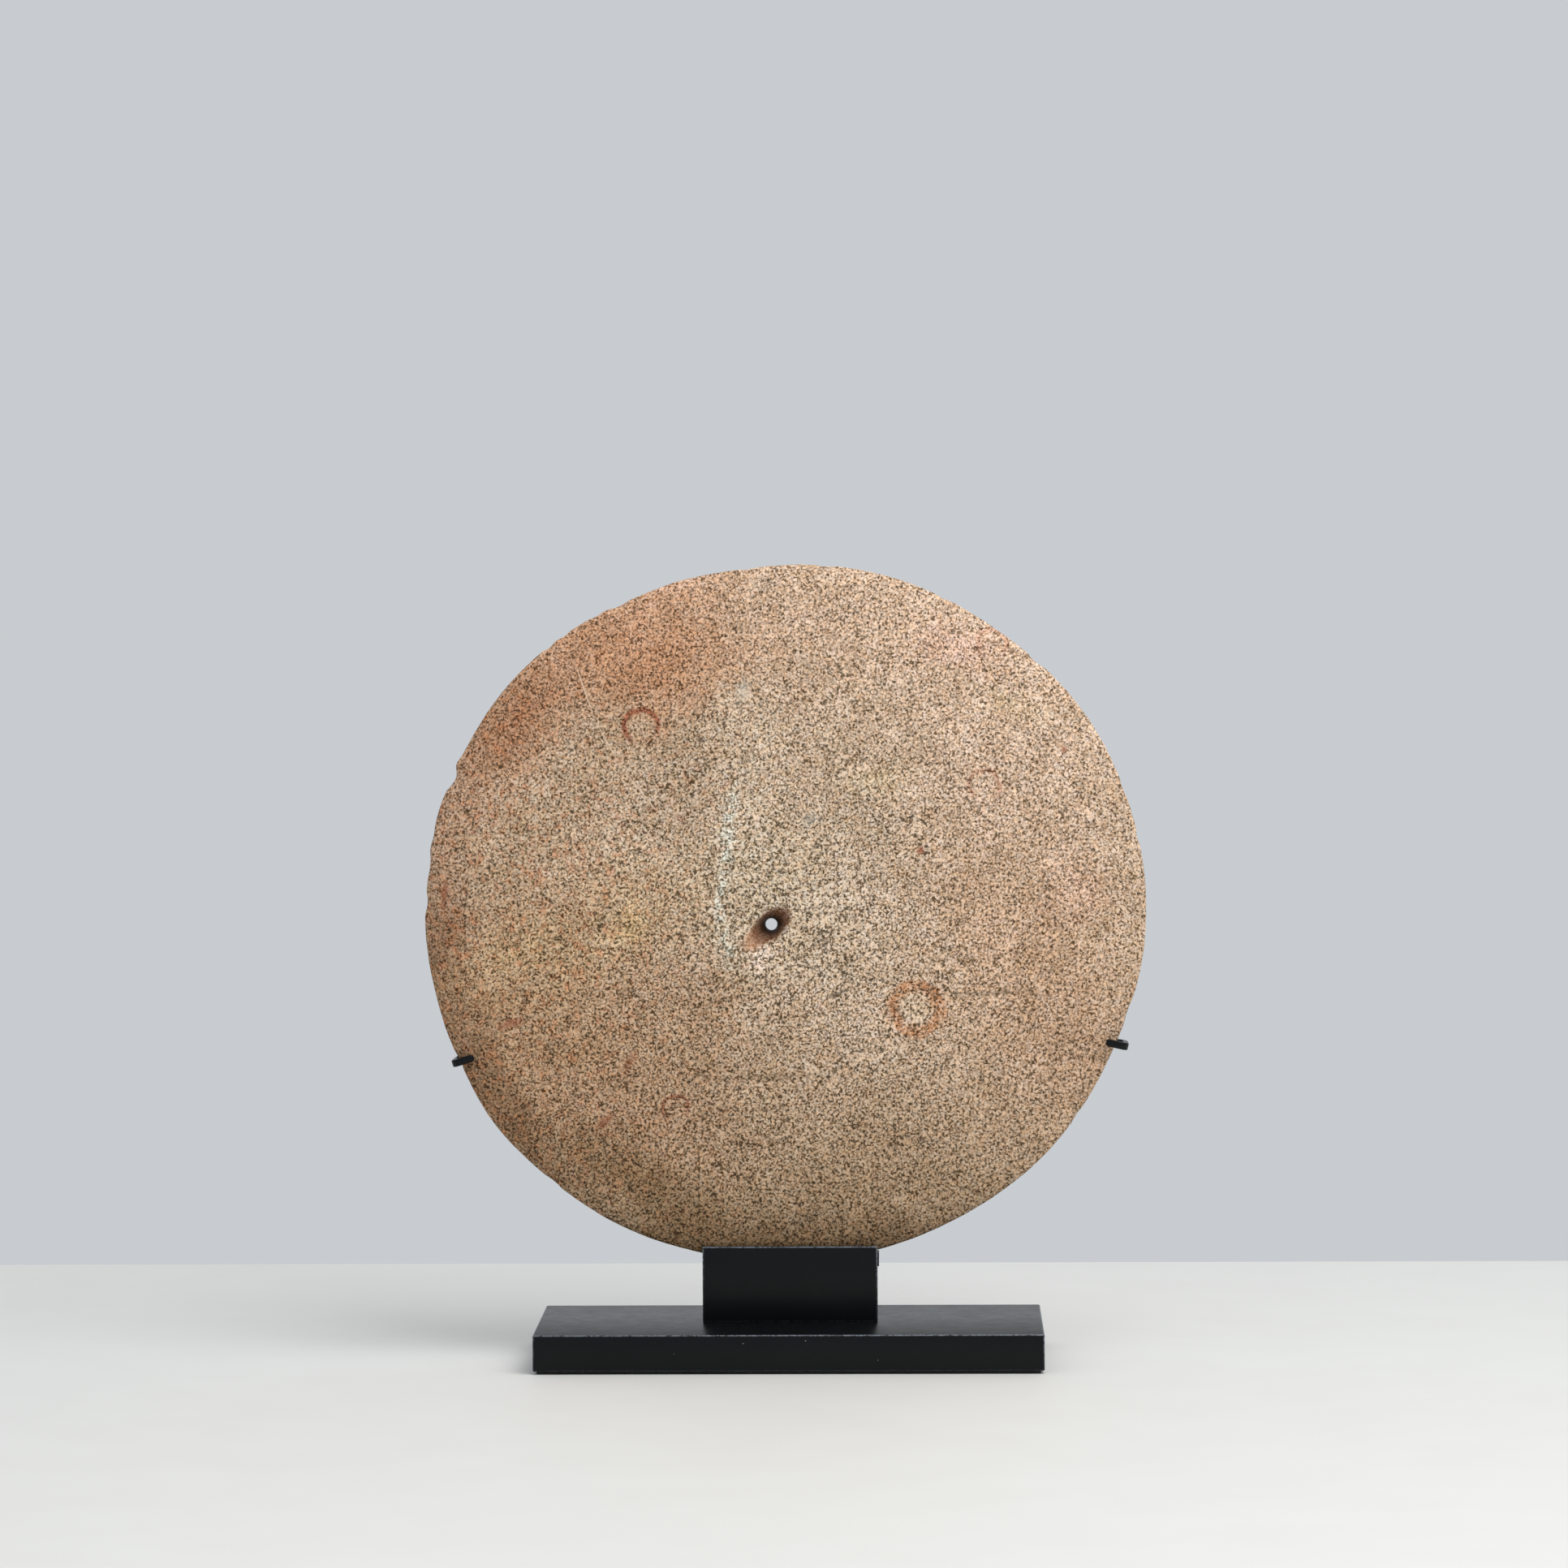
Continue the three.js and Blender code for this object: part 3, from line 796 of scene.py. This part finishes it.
# %% The speckle
# (lightness, shares of the tint in red, green and blue)
GRAIN_STEPS = [
    (0.00, (0.19, 0.17, 0.13)),
    (0.15, (0.385, 0.36, 0.305)),
    (0.35, (0.79, 0.77, 0.74)),
    (0.55, (1.13, 1.13, 1.13)),
    (0.75, (1.42, 1.45, 1.50)),
    (1.00, (1.72, 1.81, 1.94)),
]
RAMP_TOP = 2.2
ramp = mix.add("ShaderNodeValToRGB", grain)
steps = ramp.color_ramp.elements
while len(steps) < len(GRAIN_STEPS):
    steps.new(0.5)
for step, (position, shares) in zip(steps, GRAIN_STEPS):
    step.position = position
    step.color = (*[share / RAMP_TOP for share in shares], 1.0)
speckle = ramp.outputs["Color"]


def times(under, over, top=1.0):
    """One colour times another and a number, with nothing cut off at full."""
    first = mix.add("ShaderNodeVectorMath", under, over, operation="MULTIPLY")
    second = mix.add("ShaderNodeVectorMath", first.outputs[0], operation="SCALE")
    mix.put(second.inputs["Scale"], top)
    return second.outputs[0]


rock_colour = times(tint, speckle, RAMP_TOP)
print("steps in the ramp:", len(steps))

# %% [markdown]
# ## Marks on the face
#
# A long pale scratch, a few rusty streaks and dark spots lie on the stone and hide its grain.
# Each is a soft shape laid over the speckle. Noise makes the streaks and spots ragged, and the
# scratch keeps its clean, thin line.

# %% Scratch, streaks and spots
marks = []
SCRATCH = [(-86.6, 105.7), (-78.0, 81.1), (-67.4, 61.8), (-52.3, 43.2)]
SCRATCH_HALF_WIDTH = 0.38
for start, end in zip(SCRATCH, SCRATCH[1:]):
    line = mix.stroke(mix.place, start, end, SCRATCH_HALF_WIDTH)
    marks.append((line, 0.85, rock(232, 202, 174)))
# (start, end, half width, strength, colour)
STREAKS = [
    ((-117, -46), (-111, -44), 2.2, 0.6, rock(150, 78, 50)),
    ((-77, -88), (-73, -84), 2.0, 0.6, rock(146, 80, 52)),
    ((-66, -64), (-63, -58), 2.4, 0.4, rock(156, 90, 58)),
    ((-142, 4), (-141, 13), 1.6, 0.6, rock(140, 76, 50)),
    ((116, 68), (116.6, 68.3), 1.5, 0.7, rock(150, 76, 48)),
    ((56.7, 26.9), (57.2, 27), 1.4, 0.7, rock(150, 78, 50)),
    ((-18.0, 90), (-15.5, 96), 2.8, 0.4, rock(210, 206, 190)),
    ((10, 39), (13, 40), 2.4, 0.4, rock(176, 178, 168)),
    ((-34.4, 72.6), (-33.4, 73), 1.5, 0.8, rock(92, 72, 56)),
    ((-109.6, -79.8), (-108.2, -79.4), 1.5, 0.8, rock(84, 64, 46)),
    ((18.4, -33.4), (24.2, -32.4), 1.0, 0.85, rock(92, 74, 54)),
]
for start, end, width, strength, colour in STREAKS:
    marks.append((mix.stroke(ring_place, start, end, width), strength, colour))
rock_colour = lay_on(rock_colour, marks)
print("marks on the stone:", len(marks))

# %% [markdown]
# ## The drilled hole
#
# The drill polished the funnel: the grain is gone there, and the stone is a smooth dark brown.
# Round the throat it is painted nearly black: painted shade, where the hole narrows and little
# light gets in. Handling has rubbed a tan tail out of its lower left side. Each is a patch that
# follows the oval of the mouth, laid over all that came before.

# %% Polish in the hole
HOLE = (DRILL - DISC_CENTRE) / MM
hole_at = (HOLE.x, HOLE.z)
hole_turn = math.degrees(FRONT_MOUTH_TURN)
mouth_mm = [axis / MM for axis in FRONT_MOUTH]
hole_place = mix.shifted(mix.place, crumbs, 1.4)
tail_at = (HOLE.x - 6.5, HOLE.z - 5.6)
TAIL_SIZE = (6.5, 4.4)
MOUTH_SOFT = 0.28
tail = mix.patch(hole_place, tail_at, TAIL_SIZE, hole_turn, 0.6)
tail = mix.maths("MULTIPLY", tail, on_front)
front_size = (mouth_mm[0] + 0.6, mouth_mm[1])
back_size = [axis / MM for axis in BACK_MOUTH]
front_worn = mix.patch(hole_place, hole_at, front_size, hole_turn, MOUTH_SOFT)
back_worn = mix.patch(hole_place, hole_at, back_size, 0, MOUTH_SOFT)
worn = mix.add("ShaderNodeMix", on_front, back_worn, front_worn).outputs[0]
# Painted shade: a smaller oval in the middle of the mouth, painted nearly black round the throat.
throat_shade_size = (mouth_mm[0] * 0.62, mouth_mm[1] * 0.86)
throat_shade = mix.patch(hole_place, hole_at, throat_shade_size, hole_turn, 0.6)
smooth_tan = mix.layer(0.22, rock(188, 130, 88), rock_colour)
smooth_brown = mix.layer(0.12, rock(106, 56, 24), rock_colour)
rock_colour = mix.layer(mix.maths("MULTIPLY", tail, 0.85), rock_colour, smooth_tan)
rock_colour = mix.layer(mix.maths("MULTIPLY", worn, 0.92), rock_colour, smooth_brown)
rock_colour = mix.layer(mix.maths("MULTIPLY", throat_shade, 0.95), rock_colour, rock(32, 20, 13))
polish = mix.maths("MAXIMUM", worn, mix.maths("MULTIPLY", tail, 0.6))
print("hole, in mm from the disc's centre:", [round(part, 1) for part in hole_at])

# %% [markdown]
# ## The stone's sheen and its finest relief
#
# Weathered stone is dull, its dark grains a little duller than the light ones, and only the
# funnel has a low polish. Bump carries what is too fine for the mesh: the dark grains lie a
# little lower, because they weather first, and the polished funnel has hardly any of it.

# %% Roughness and bump
mix.put(mix.shader.inputs["Base Color"], rock_colour)
dull = mix.ease(grain, 0.1, 0.9, 0.86, 0.66)
POLISHED_ROUGHNESS = 0.5
mix.put(mix.shader.inputs["Roughness"], mix.layer(polish, dull, (POLISHED_ROUGHNESS,) * 3))
mix.shader.inputs["Specular IOR Level"].default_value = 0.22
flat_where_polished = mix.ease(polish, 0.0, 1.0, 0.55, 0.08)
pits = mix.maths("ADD", mix.ease(grain, 0.0, 0.45), mix.cloud(mix.place, 0.7, 2)[0])
bump = mix.add("ShaderNodeBump")
mix.put(bump.inputs["Strength"], flat_where_polished)
PIT_DEPTH = 0.16 * MM
mix.put(bump.inputs["Distance"], PIT_DEPTH)
mix.put(bump.inputs["Height"], pits)
mix.put(mix.shader.inputs["Normal"], bump.outputs["Normal"])
dress(stone, mix.material)
print("nodes in the stone's finish:", len(mix.tree.nodes))
stand_for(stone, "stone_disc")

# %% [markdown]
# ## The plate and the block
#
# Both are lengths of bright steel bar, sawn, eased along the edges and sprayed black. A box is
# the right start for each, but a real edge is never sharp: the bevel gives it the narrow round
# that catches the light, and that line is most of what the eye reads as painted metal.

# %% Make the base plate
PLATE_EASE = 0.55 * MM


def box_of(name, low, high):
    """A box from one corner to the other, open for editing."""
    start_clean()
    bpy.ops.mesh.primitive_cube_add(size=1, location=(low + high) / 2)
    piece = bpy.context.object
    piece.name = piece.data.name = name
    piece.scale = high - low
    bpy.ops.object.transform_apply(location=True, rotation=True, scale=True)
    edit(piece)
    return piece


def ease_edges(piece, width, segments=3):
    """Rounds every edge that two faces meet at an angle on."""
    bpy.ops.mesh.select_all(action="DESELECT")
    bpy.ops.mesh.select_mode(type="EDGE")
    bpy.ops.mesh.edges_select_sharp(sharpness=math.radians(30))
    bpy.ops.mesh.bevel(offset=width, segments=segments, profile=0.5)
    bpy.ops.object.mode_set(mode="OBJECT")
    take(piece)
    bpy.ops.object.shade_smooth_by_angle(angle=math.radians(35))


plate = box_of("painted_plate", plate_low, plate_high)
ease_edges(plate, PLATE_EASE)
print("plate, in mm:", [round(side / MM, 1) for side in plate.dimensions])

# %% [markdown]
# The block has a slot milled along its top. A boolean could cut it, but it leaves long thin
# faces. It is made as a miller sees it instead: two cuts divide the top along its length, and
# the strip between them is pushed down. The slot's floor is where the lining's underside lies.

# %% Make the slotted block
SLOT_PLAY = 0.3 * MM
BLOCK_EASE = 0.4 * MM
slot_half = (liner_high.y - liner_low.y) / 2 + SLOT_PLAY
slot_floor = liner_low.z
block = box_of("slotted_block", block_low, block_high)
for side in (-1, 1):
    bpy.ops.mesh.select_all(action="SELECT")
    bpy.ops.mesh.bisect(plane_co=(0, side * slot_half, 0), plane_no=(0, 1, 0))
chosen(block, lambda place: place.z > block_high.z - HAIR and abs(place.y) < slot_half + HAIR)
bpy.ops.mesh.extrude_region_move(
    TRANSFORM_OT_translate={"value": (0, 0, slot_floor - block_high.z)}
)
bpy.ops.mesh.select_all(action="SELECT")
bpy.ops.mesh.normals_make_consistent(inside=False)
ease_edges(block, BLOCK_EASE)
print("slot, in mm:", round(2 * slot_half / MM, 1), "wide")

# %% [markdown]
# ## Felt under the plate and in the slot
#
# Felt is cut from a sheet with scissors, so its edge is soft and a little uneven. The pad is a
# box with its faces divided finely and pushed about by a small cloud. The lining starts as the
# CAD bed, which already follows the stone's rim, remeshed to an even net so that the same
# treatment can fluff it.

# %% Make the felt pad and the lining
PAD_CUTS = 90
LINING_NET = 0.7 * MM


def fluff(piece, name, size, depth, inward):
    """Roughens a piece with a cloud, mostly inwards: all of it where inward is 1."""
    cloud = bpy.data.textures.new(name, "CLOUDS")
    cloud.noise_scale = size * MM
    finish_with(piece, "DISPLACE", texture=cloud, texture_coords="LOCAL",
                strength=depth * MM, mid_level=inward)
    take(piece)
    bpy.ops.object.shade_smooth()


pad = box_of("felt_sheet", pad_low, pad_high)
bpy.ops.mesh.select_all(action="SELECT")
bpy.ops.mesh.subdivide(number_cuts=PAD_CUTS)
bpy.ops.object.mode_set(mode="OBJECT")
fluff(pad, "felt_lumps", 1.8, 0.45, inward=1.0)

take(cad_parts["slot_liner"])
bpy.ops.object.duplicate()
lining = bpy.context.object
lining.name = lining.data.name = "felt_lining"
edit(lining)
bpy.ops.mesh.select_all(action="SELECT")
bpy.ops.mesh.remove_doubles(threshold=HAIR)
bpy.ops.object.mode_set(mode="OBJECT")
finish_with(lining, "REMESH", mode="VOXEL", voxel_size=LINING_NET)
fluff(lining, "lining_lumps", 1.2, 0.25, inward=0.8)
for piece in (pad, lining):
    print(piece.name, "in mm:", [round(side / MM, 1) for side in piece.dimensions])

# %% [markdown]
# ## The two arms
#
# Each arm is one flat bar, about three millimetres by two and a half. It is brazed to the back
# of the block, spreads out behind the stone, turns forward just outside the rim and hooks in
# over the face. A smith would bend a straight bar, and Spin does the same to its end face: it
# carries the face round a corner's centre and leaves the bar behind it. So the arm is made
# from its foot to its tip, by turns of Extrude for the straights and Spin for the bends.

# %% Sizes of the arms
BAR_WIDE = 3.1 * MM
BAR_THICK = 2.4 * MM
BAR_EASE = 0.5 * MM
TIGHT = 2.2 * MM
TIGHT_STEPS = 8
GENTLE = 24.0 * MM
GENTLE_STEPS = 10
FOOT_ACROSS = 14.0 * MM
FOOT_LOW = 19.0 * MM
FOOT_HIGH = 47.0 * MM
RADIAL_RUN = 24.0 * MM
TAB_Y = -5.0 * MM
TIP_LENGTH = 1.0 * MM
TIP_TAPER = 0.72
BACK_Y = block_high.y + BAR_THICK / 2
UP = Vector((0, 0, 1))
FORWARD = Vector((0, -1, 0))
# (side, where the bar passes forward, the way out to there in degrees, the way its tab points
# in degrees, the tab's length)
ARMS = {
    "left_arm": (-1, Vector((-139.3, 0, 124.6)) * MM, 212.0, 17.0, 8.4 * MM),
    "right_arm": (1, Vector((139.9, 0, 130.7)) * MM, 352.4, 167.0, 8.3 * MM),
}
print("bar, in mm:", BAR_WIDE / MM, "by", BAR_THICK / MM)

# %% [markdown]
# A bend has to start before its corner, by the bend's radius times the tangent of half the
# angle, so that the straights on either side meet at the corner if they are drawn on. The
# axis of a bend is square to both of its straights, which is what a cross product gives.


# %% Bend the arms
def run_straight(at, to):
    """Draws the bar's end from one place to another."""
    bpy.ops.mesh.extrude_region_move(TRANSFORM_OT_translate={"value": to - at})
    return to


def bend_to(at, heading, new_heading, radius, steps):
    """Carries the bar's end round a bend, and returns its new place."""
    axis = heading.cross(new_heading).normalized()
    centre = at + axis.cross(heading) * radius
    angle = heading.angle(new_heading)
    bpy.ops.mesh.spin(steps=steps, angle=-angle, center=centre, axis=axis)
    return centre + Matrix.Rotation(angle, 3, axis) @ (at - centre)


def corner_start(corner, heading, new_heading, radius):
    """Where a bend must start for its straights to meet at a corner."""
    return corner - heading * radius * math.tan(heading.angle(new_heading) / 2)


def bend_arm(name, side, past, face_angle, tab_angle, tab_length):
    """One arm, from the foot on the block to the hammered tip over the stone's face."""
    out, tab = outward(face_angle), outward(tab_angle)
    past = past + Vector((0, BACK_Y, 0))
    turn_point = past - out * RADIAL_RUN
    foot = Vector((side * FOOT_ACROSS, BACK_Y, FOOT_LOW))
    foot_top = Vector((side * FOOT_ACROSS, BACK_Y, FOOT_HIGH))
    slope = (turn_point - foot_top).normalized()
    start_clean()
    bpy.ops.mesh.primitive_plane_add(size=1, location=foot)
    arm = bpy.context.object
    arm.name = arm.data.name = "bent_" + name
    arm.scale = (BAR_WIDE, BAR_THICK, 1)
    bpy.ops.object.transform_apply(location=True, rotation=True, scale=True)
    edit(arm)
    bpy.ops.mesh.select_all(action="SELECT")
    at = run_straight(foot, corner_start(foot_top, UP, slope, GENTLE))
    at = bend_to(at, UP, slope, GENTLE, GENTLE_STEPS)
    at = run_straight(at, corner_start(turn_point, slope, out, GENTLE))
    at = bend_to(at, slope, out, GENTLE, GENTLE_STEPS)
    at = run_straight(at, past - out * TIGHT)
    at = bend_to(at, out, FORWARD, TIGHT, TIGHT_STEPS)
    at = run_straight(at, Vector((at.x, TAB_Y + TIGHT, at.z)))
    # The tab's width lies square to the way it points, so the bar twists a little here.
    twist = math.radians((tab_angle - face_angle + 180 + 90) % 180 - 90)
    turn_flat(twist, at)
    at = bend_to(at, FORWARD, tab, TIGHT, TIGHT_STEPS)
    tip = Vector((past.x, TAB_Y, past.z)) + tab * tab_length
    at = run_straight(at, tip - tab * TIP_LENGTH)
    run_straight(at, tip)
    bpy.ops.transform.resize(value=(TIP_TAPER,) * 3, center_override=tip)
    bpy.ops.mesh.select_all(action="SELECT")
    bpy.ops.mesh.remove_doubles(threshold=HAIR)
    bpy.ops.mesh.normals_make_consistent(inside=False)
    ease_edges(arm, BAR_EASE, segments=2)
    return arm


arms = {name: bend_arm(name, *shape) for name, shape in ARMS.items()}
for name, arm in arms.items():
    low, high = corners(name)
    places = [vert.co for vert in arm.data.vertices]
    below = [round((min(place[i] for place in places) - low[i]) / MM, 2) for i in range(3)]
    above = [round((max(place[i] for place in places) - high[i]) / MM, 2) for i in range(3)]
    print(name, "against its bar in the frame, in mm:", below, above)

# %% [markdown]
# ## Satin black paint
#
# Sprayed paint is never one even black. It has a fine orange peel, dust that settled while it
# dried, faint rubs on the faces that hands touch, and edges where it drew thin and greyed. The
# grey along the edges also paints the bright line that eased edges catch from a light above, so
# it is lightest on the upper edges and fades on the lowest, which lie in shade. It is worked out
# from the place itself: each piece knows where its own long edges run, and a speckled noise
# decides where along them the grey shows.


# %% Find the worn and highlighted edges
def edge_wear_and_highlight(spray, low, high):
    """A speckled line along the box's edges, where a place is near two of its faces: worn paint
    and a painted highlight, lighter higher up.
    """
    apart = spray.add("ShaderNodeSeparateXYZ", spray.place).outputs
    near = []
    for axis in range(3):
        middle = (low[axis] + high[axis]) / 2 / MM
        half = (high[axis] - low[axis]) / 2 / MM
        from_middle = spray.maths("ABSOLUTE", spray.maths("SUBTRACT", apart[axis], middle))
        near.append(spray.ease(from_middle, half - 0.75, half - 0.15))
    edges = [spray.maths("MULTIPLY", near[a], near[b]) for a, b in ((0, 1), (1, 2), (0, 2))]
    edge = spray.maths("MAXIMUM", spray.maths("MAXIMUM", edges[0], edges[1]), edges[2])
    broken = spray.cloud(spray.place, 1.3, detail=3, roughness=0.7)[0]
    # The line is a painted highlight as well as wear: it is strongest along the upper edges, which
    # catch the light from above, and fades on the lowest, which lie in shade.
    lit_from_above = spray.ease(apart[2], low.z / MM, high.z / MM, 0.15, 1.0)
    edge = spray.maths("MULTIPLY", edge, lit_from_above)
    return spray.maths("MULTIPLY", edge, spray.ease(broken, 0.35, 0.6, 0.1, 0.95))


# %% [markdown]
# The paint itself is two blacks in soft clouds, with a few dust specks that stand out a little
# from the orange peel. The bars are too thin to show a worn, highlighted edge, so they go without.

# %% Mix the paint
PAINT = tone(9, 11, 13)
PATCHY_PAINT = tone(17, 18, 20)
# Grey of paint worn thin on the edges, made light enough to paint the highlight they catch too.
THIN_PAINT_AND_HIGHLIGHT = tone(118, 124, 132)
DUST = tone(150, 150, 148)


def paint(name, low=None, high=None):
    """Satin black, with worn edges and a painted edge highlight if the corners of a box-shaped
    piece are given.
    """
    spray = Finish(name)
    peel = spray.cloud(spray.place, 0.9, detail=2)[0]
    patchy = spray.cloud(spray.place, 24, detail=3, roughness=0.6)[0]
    rub = spray.cloud(spray.place, 7, detail=3, roughness=0.7)[0]
    colour = spray.layer(spray.ease(patchy, 0.3, 0.7, 0.0, 0.3), PAINT, PATCHY_PAINT)
    specks = spray.cells(spray.place, 5.0)
    kept = spray.ease(spray.add("ShaderNodeSeparateColor", specks[1]).outputs[1], 0.72, 0.78)
    speck = spray.maths("MULTIPLY", spray.ease(specks[0], 0.055, 0.03), kept)
    colour = spray.layer(spray.maths("MULTIPLY", speck, 0.8), colour, DUST)
    if low is not None:
        # Worn paint and painted highlight along the edges, lighter on the upper ones.
        worn = edge_wear_and_highlight(spray, low, high)
        colour = spray.layer(worn, colour, THIN_PAINT_AND_HIGHLIGHT)
    spray.put(spray.shader.inputs["Base Color"], colour)
    spray.put(spray.shader.inputs["Roughness"], spray.ease(rub, 0.3, 0.75, 0.27, 0.33))
    spray.shader.inputs["Specular IOR Level"].default_value = 0.17
    bump = spray.add("ShaderNodeBump")
    bump.inputs["Strength"].default_value = 0.12
    spray.put(bump.inputs["Distance"], 0.05 * MM)
    spray.put(bump.inputs["Height"], spray.maths("ADD", peel, speck))
    spray.put(spray.shader.inputs["Normal"], bump.outputs["Normal"])
    return spray.material


dress(plate, paint("plate_paint", plate_low, plate_high))
dress(block, paint("block_paint", block_low, block_high))
bar_paint = paint("bar_paint")
for arm in arms.values():
    dress(arm, bar_paint)
print("paints:", [piece.data.materials[0].name for piece in (plate, block, arms["left_arm"])])

# %% [markdown]
# ## Black felt
#
# Felt is pressed fibre, with no weave and no shine. One fine cloud of tufts makes both its
# colour and its bump, a softer one adds grey lint, and a little sheen stands for the loose
# fibres that catch the light at a slant.

# %% Mix the felt
felt = Finish("black_felt")
tufts = felt.cloud(felt.place, 0.5, detail=3, roughness=0.7)[0]
lint = felt.cloud(felt.place, 6, detail=2)[0]
felt_colour = felt.layer(felt.ease(tufts, 0.3, 0.7), tone(14, 14, 15), tone(44, 43, 43))
felt_colour = felt.layer(felt.ease(lint, 0.55, 0.75, 0, 0.3), felt_colour, tone(70, 68, 66))
felt.put(felt.shader.inputs["Base Color"], felt_colour)
felt.shader.inputs["Roughness"].default_value = 0.95
felt.shader.inputs["Sheen Weight"].default_value = 0.3
nap = felt.add("ShaderNodeBump")
nap.inputs["Strength"].default_value = 0.6
felt.put(nap.inputs["Distance"], 0.2 * MM)
felt.put(nap.inputs["Height"], tufts)
felt.put(felt.shader.inputs["Normal"], nap.outputs["Normal"])
for piece in (pad, lining):
    dress(piece, felt.material)
print("felt on:", pad.name, "and", lining.name)

# %% [markdown]
# ## In place of the plain pieces
#
# Each finished piece takes the place of the plain one in the frame that it was made after. It
# rides on the same body, and its slot says which finish belongs on it.

# %% Put each piece in its node's place
stand_for(plate, "base_plate")
stand_for(block, "support_block")
stand_for(pad, "felt_pad")
stand_for(lining, "slot_liner")
for name, arm in arms.items():
    stand_for(arm, name)

# %% [markdown]
# ## Floor and light
#
# The stand is on a pale slab, which ends a little way behind it.

# %% Lay the slab
SLAB_COLOUR = tone(228, 228, 225)
SLAB_CLOUDED = tone(223, 222, 219)
SLAB_LOW = Vector((-1.6, -1.7, -0.05))
SLAB_HIGH = Vector((1.6, 0.3086, 0.0))

slab = box_of("slab", SLAB_LOW, SLAB_HIGH)
ease_edges(slab, 1.0 * MM)
slab_finish = Finish("pale_slab")
slab_cloud = slab_finish.cloud(slab_finish.place, 40, detail=3)[0]
slab_tint = slab_finish.layer(slab_cloud, SLAB_COLOUR, SLAB_CLOUDED)
slab_finish.put(slab_finish.shader.inputs["Base Color"], slab_tint)
slab_finish.shader.inputs["Roughness"].default_value = 0.6
slab_finish.shader.inputs["Specular IOR Level"].default_value = 0.3
dress(slab, slab_finish.material)
print("slab, in m:", [round(side, 2) for side in slab.dimensions])

# %% [markdown]
# The main light is a broad soft box high up, in front and to the right: light from steeply
# above darkens the lower half of a stone that curves away below, and its width keeps the
# shadow soft. The room itself, plain and pale, fills everything else.

# %% Light the scene
ROOM = tone(200, 204, 208)
scene = bpy.context.scene
scene.view_settings.view_transform = "Standard"
room = bpy.data.worlds.new("plain_room")
scene.world = room
room.use_nodes = True
walls = room.node_tree.nodes["Background"]
walls.inputs["Color"].default_value = (*ROOM, 1.0)
walls.inputs["Strength"].default_value = 1.0

LAMP_PLACE = Vector((0.75, -0.8, 1.75))
LAMP_TARGET = Vector((0.05, 0.0, 0.18))
LAMP_WIDTH = 1.5
LAMP_POWER = 29.5
LAMP_COLOUR = (1.0, 0.985, 0.96)


def soft_box(name, place, target, width, power, colour):
    """A square lamp that faces a target."""
    data = bpy.data.lights.new(name, "AREA")
    data.size = width
    data.energy = power
    data.color = colour
    lamp = bpy.data.objects.new(name, data)
    scene.collection.objects.link(lamp)
    lamp.location = place
    lamp.rotation_euler = (target - place).to_track_quat("-Z", "Y").to_euler()


soft_box("high_soft_box", LAMP_PLACE, LAMP_TARGET, LAMP_WIDTH, LAMP_POWER, LAMP_COLOUR)
print("lamp stands", round((LAMP_PLACE - LAMP_TARGET).length, 2), "m from what it lights")
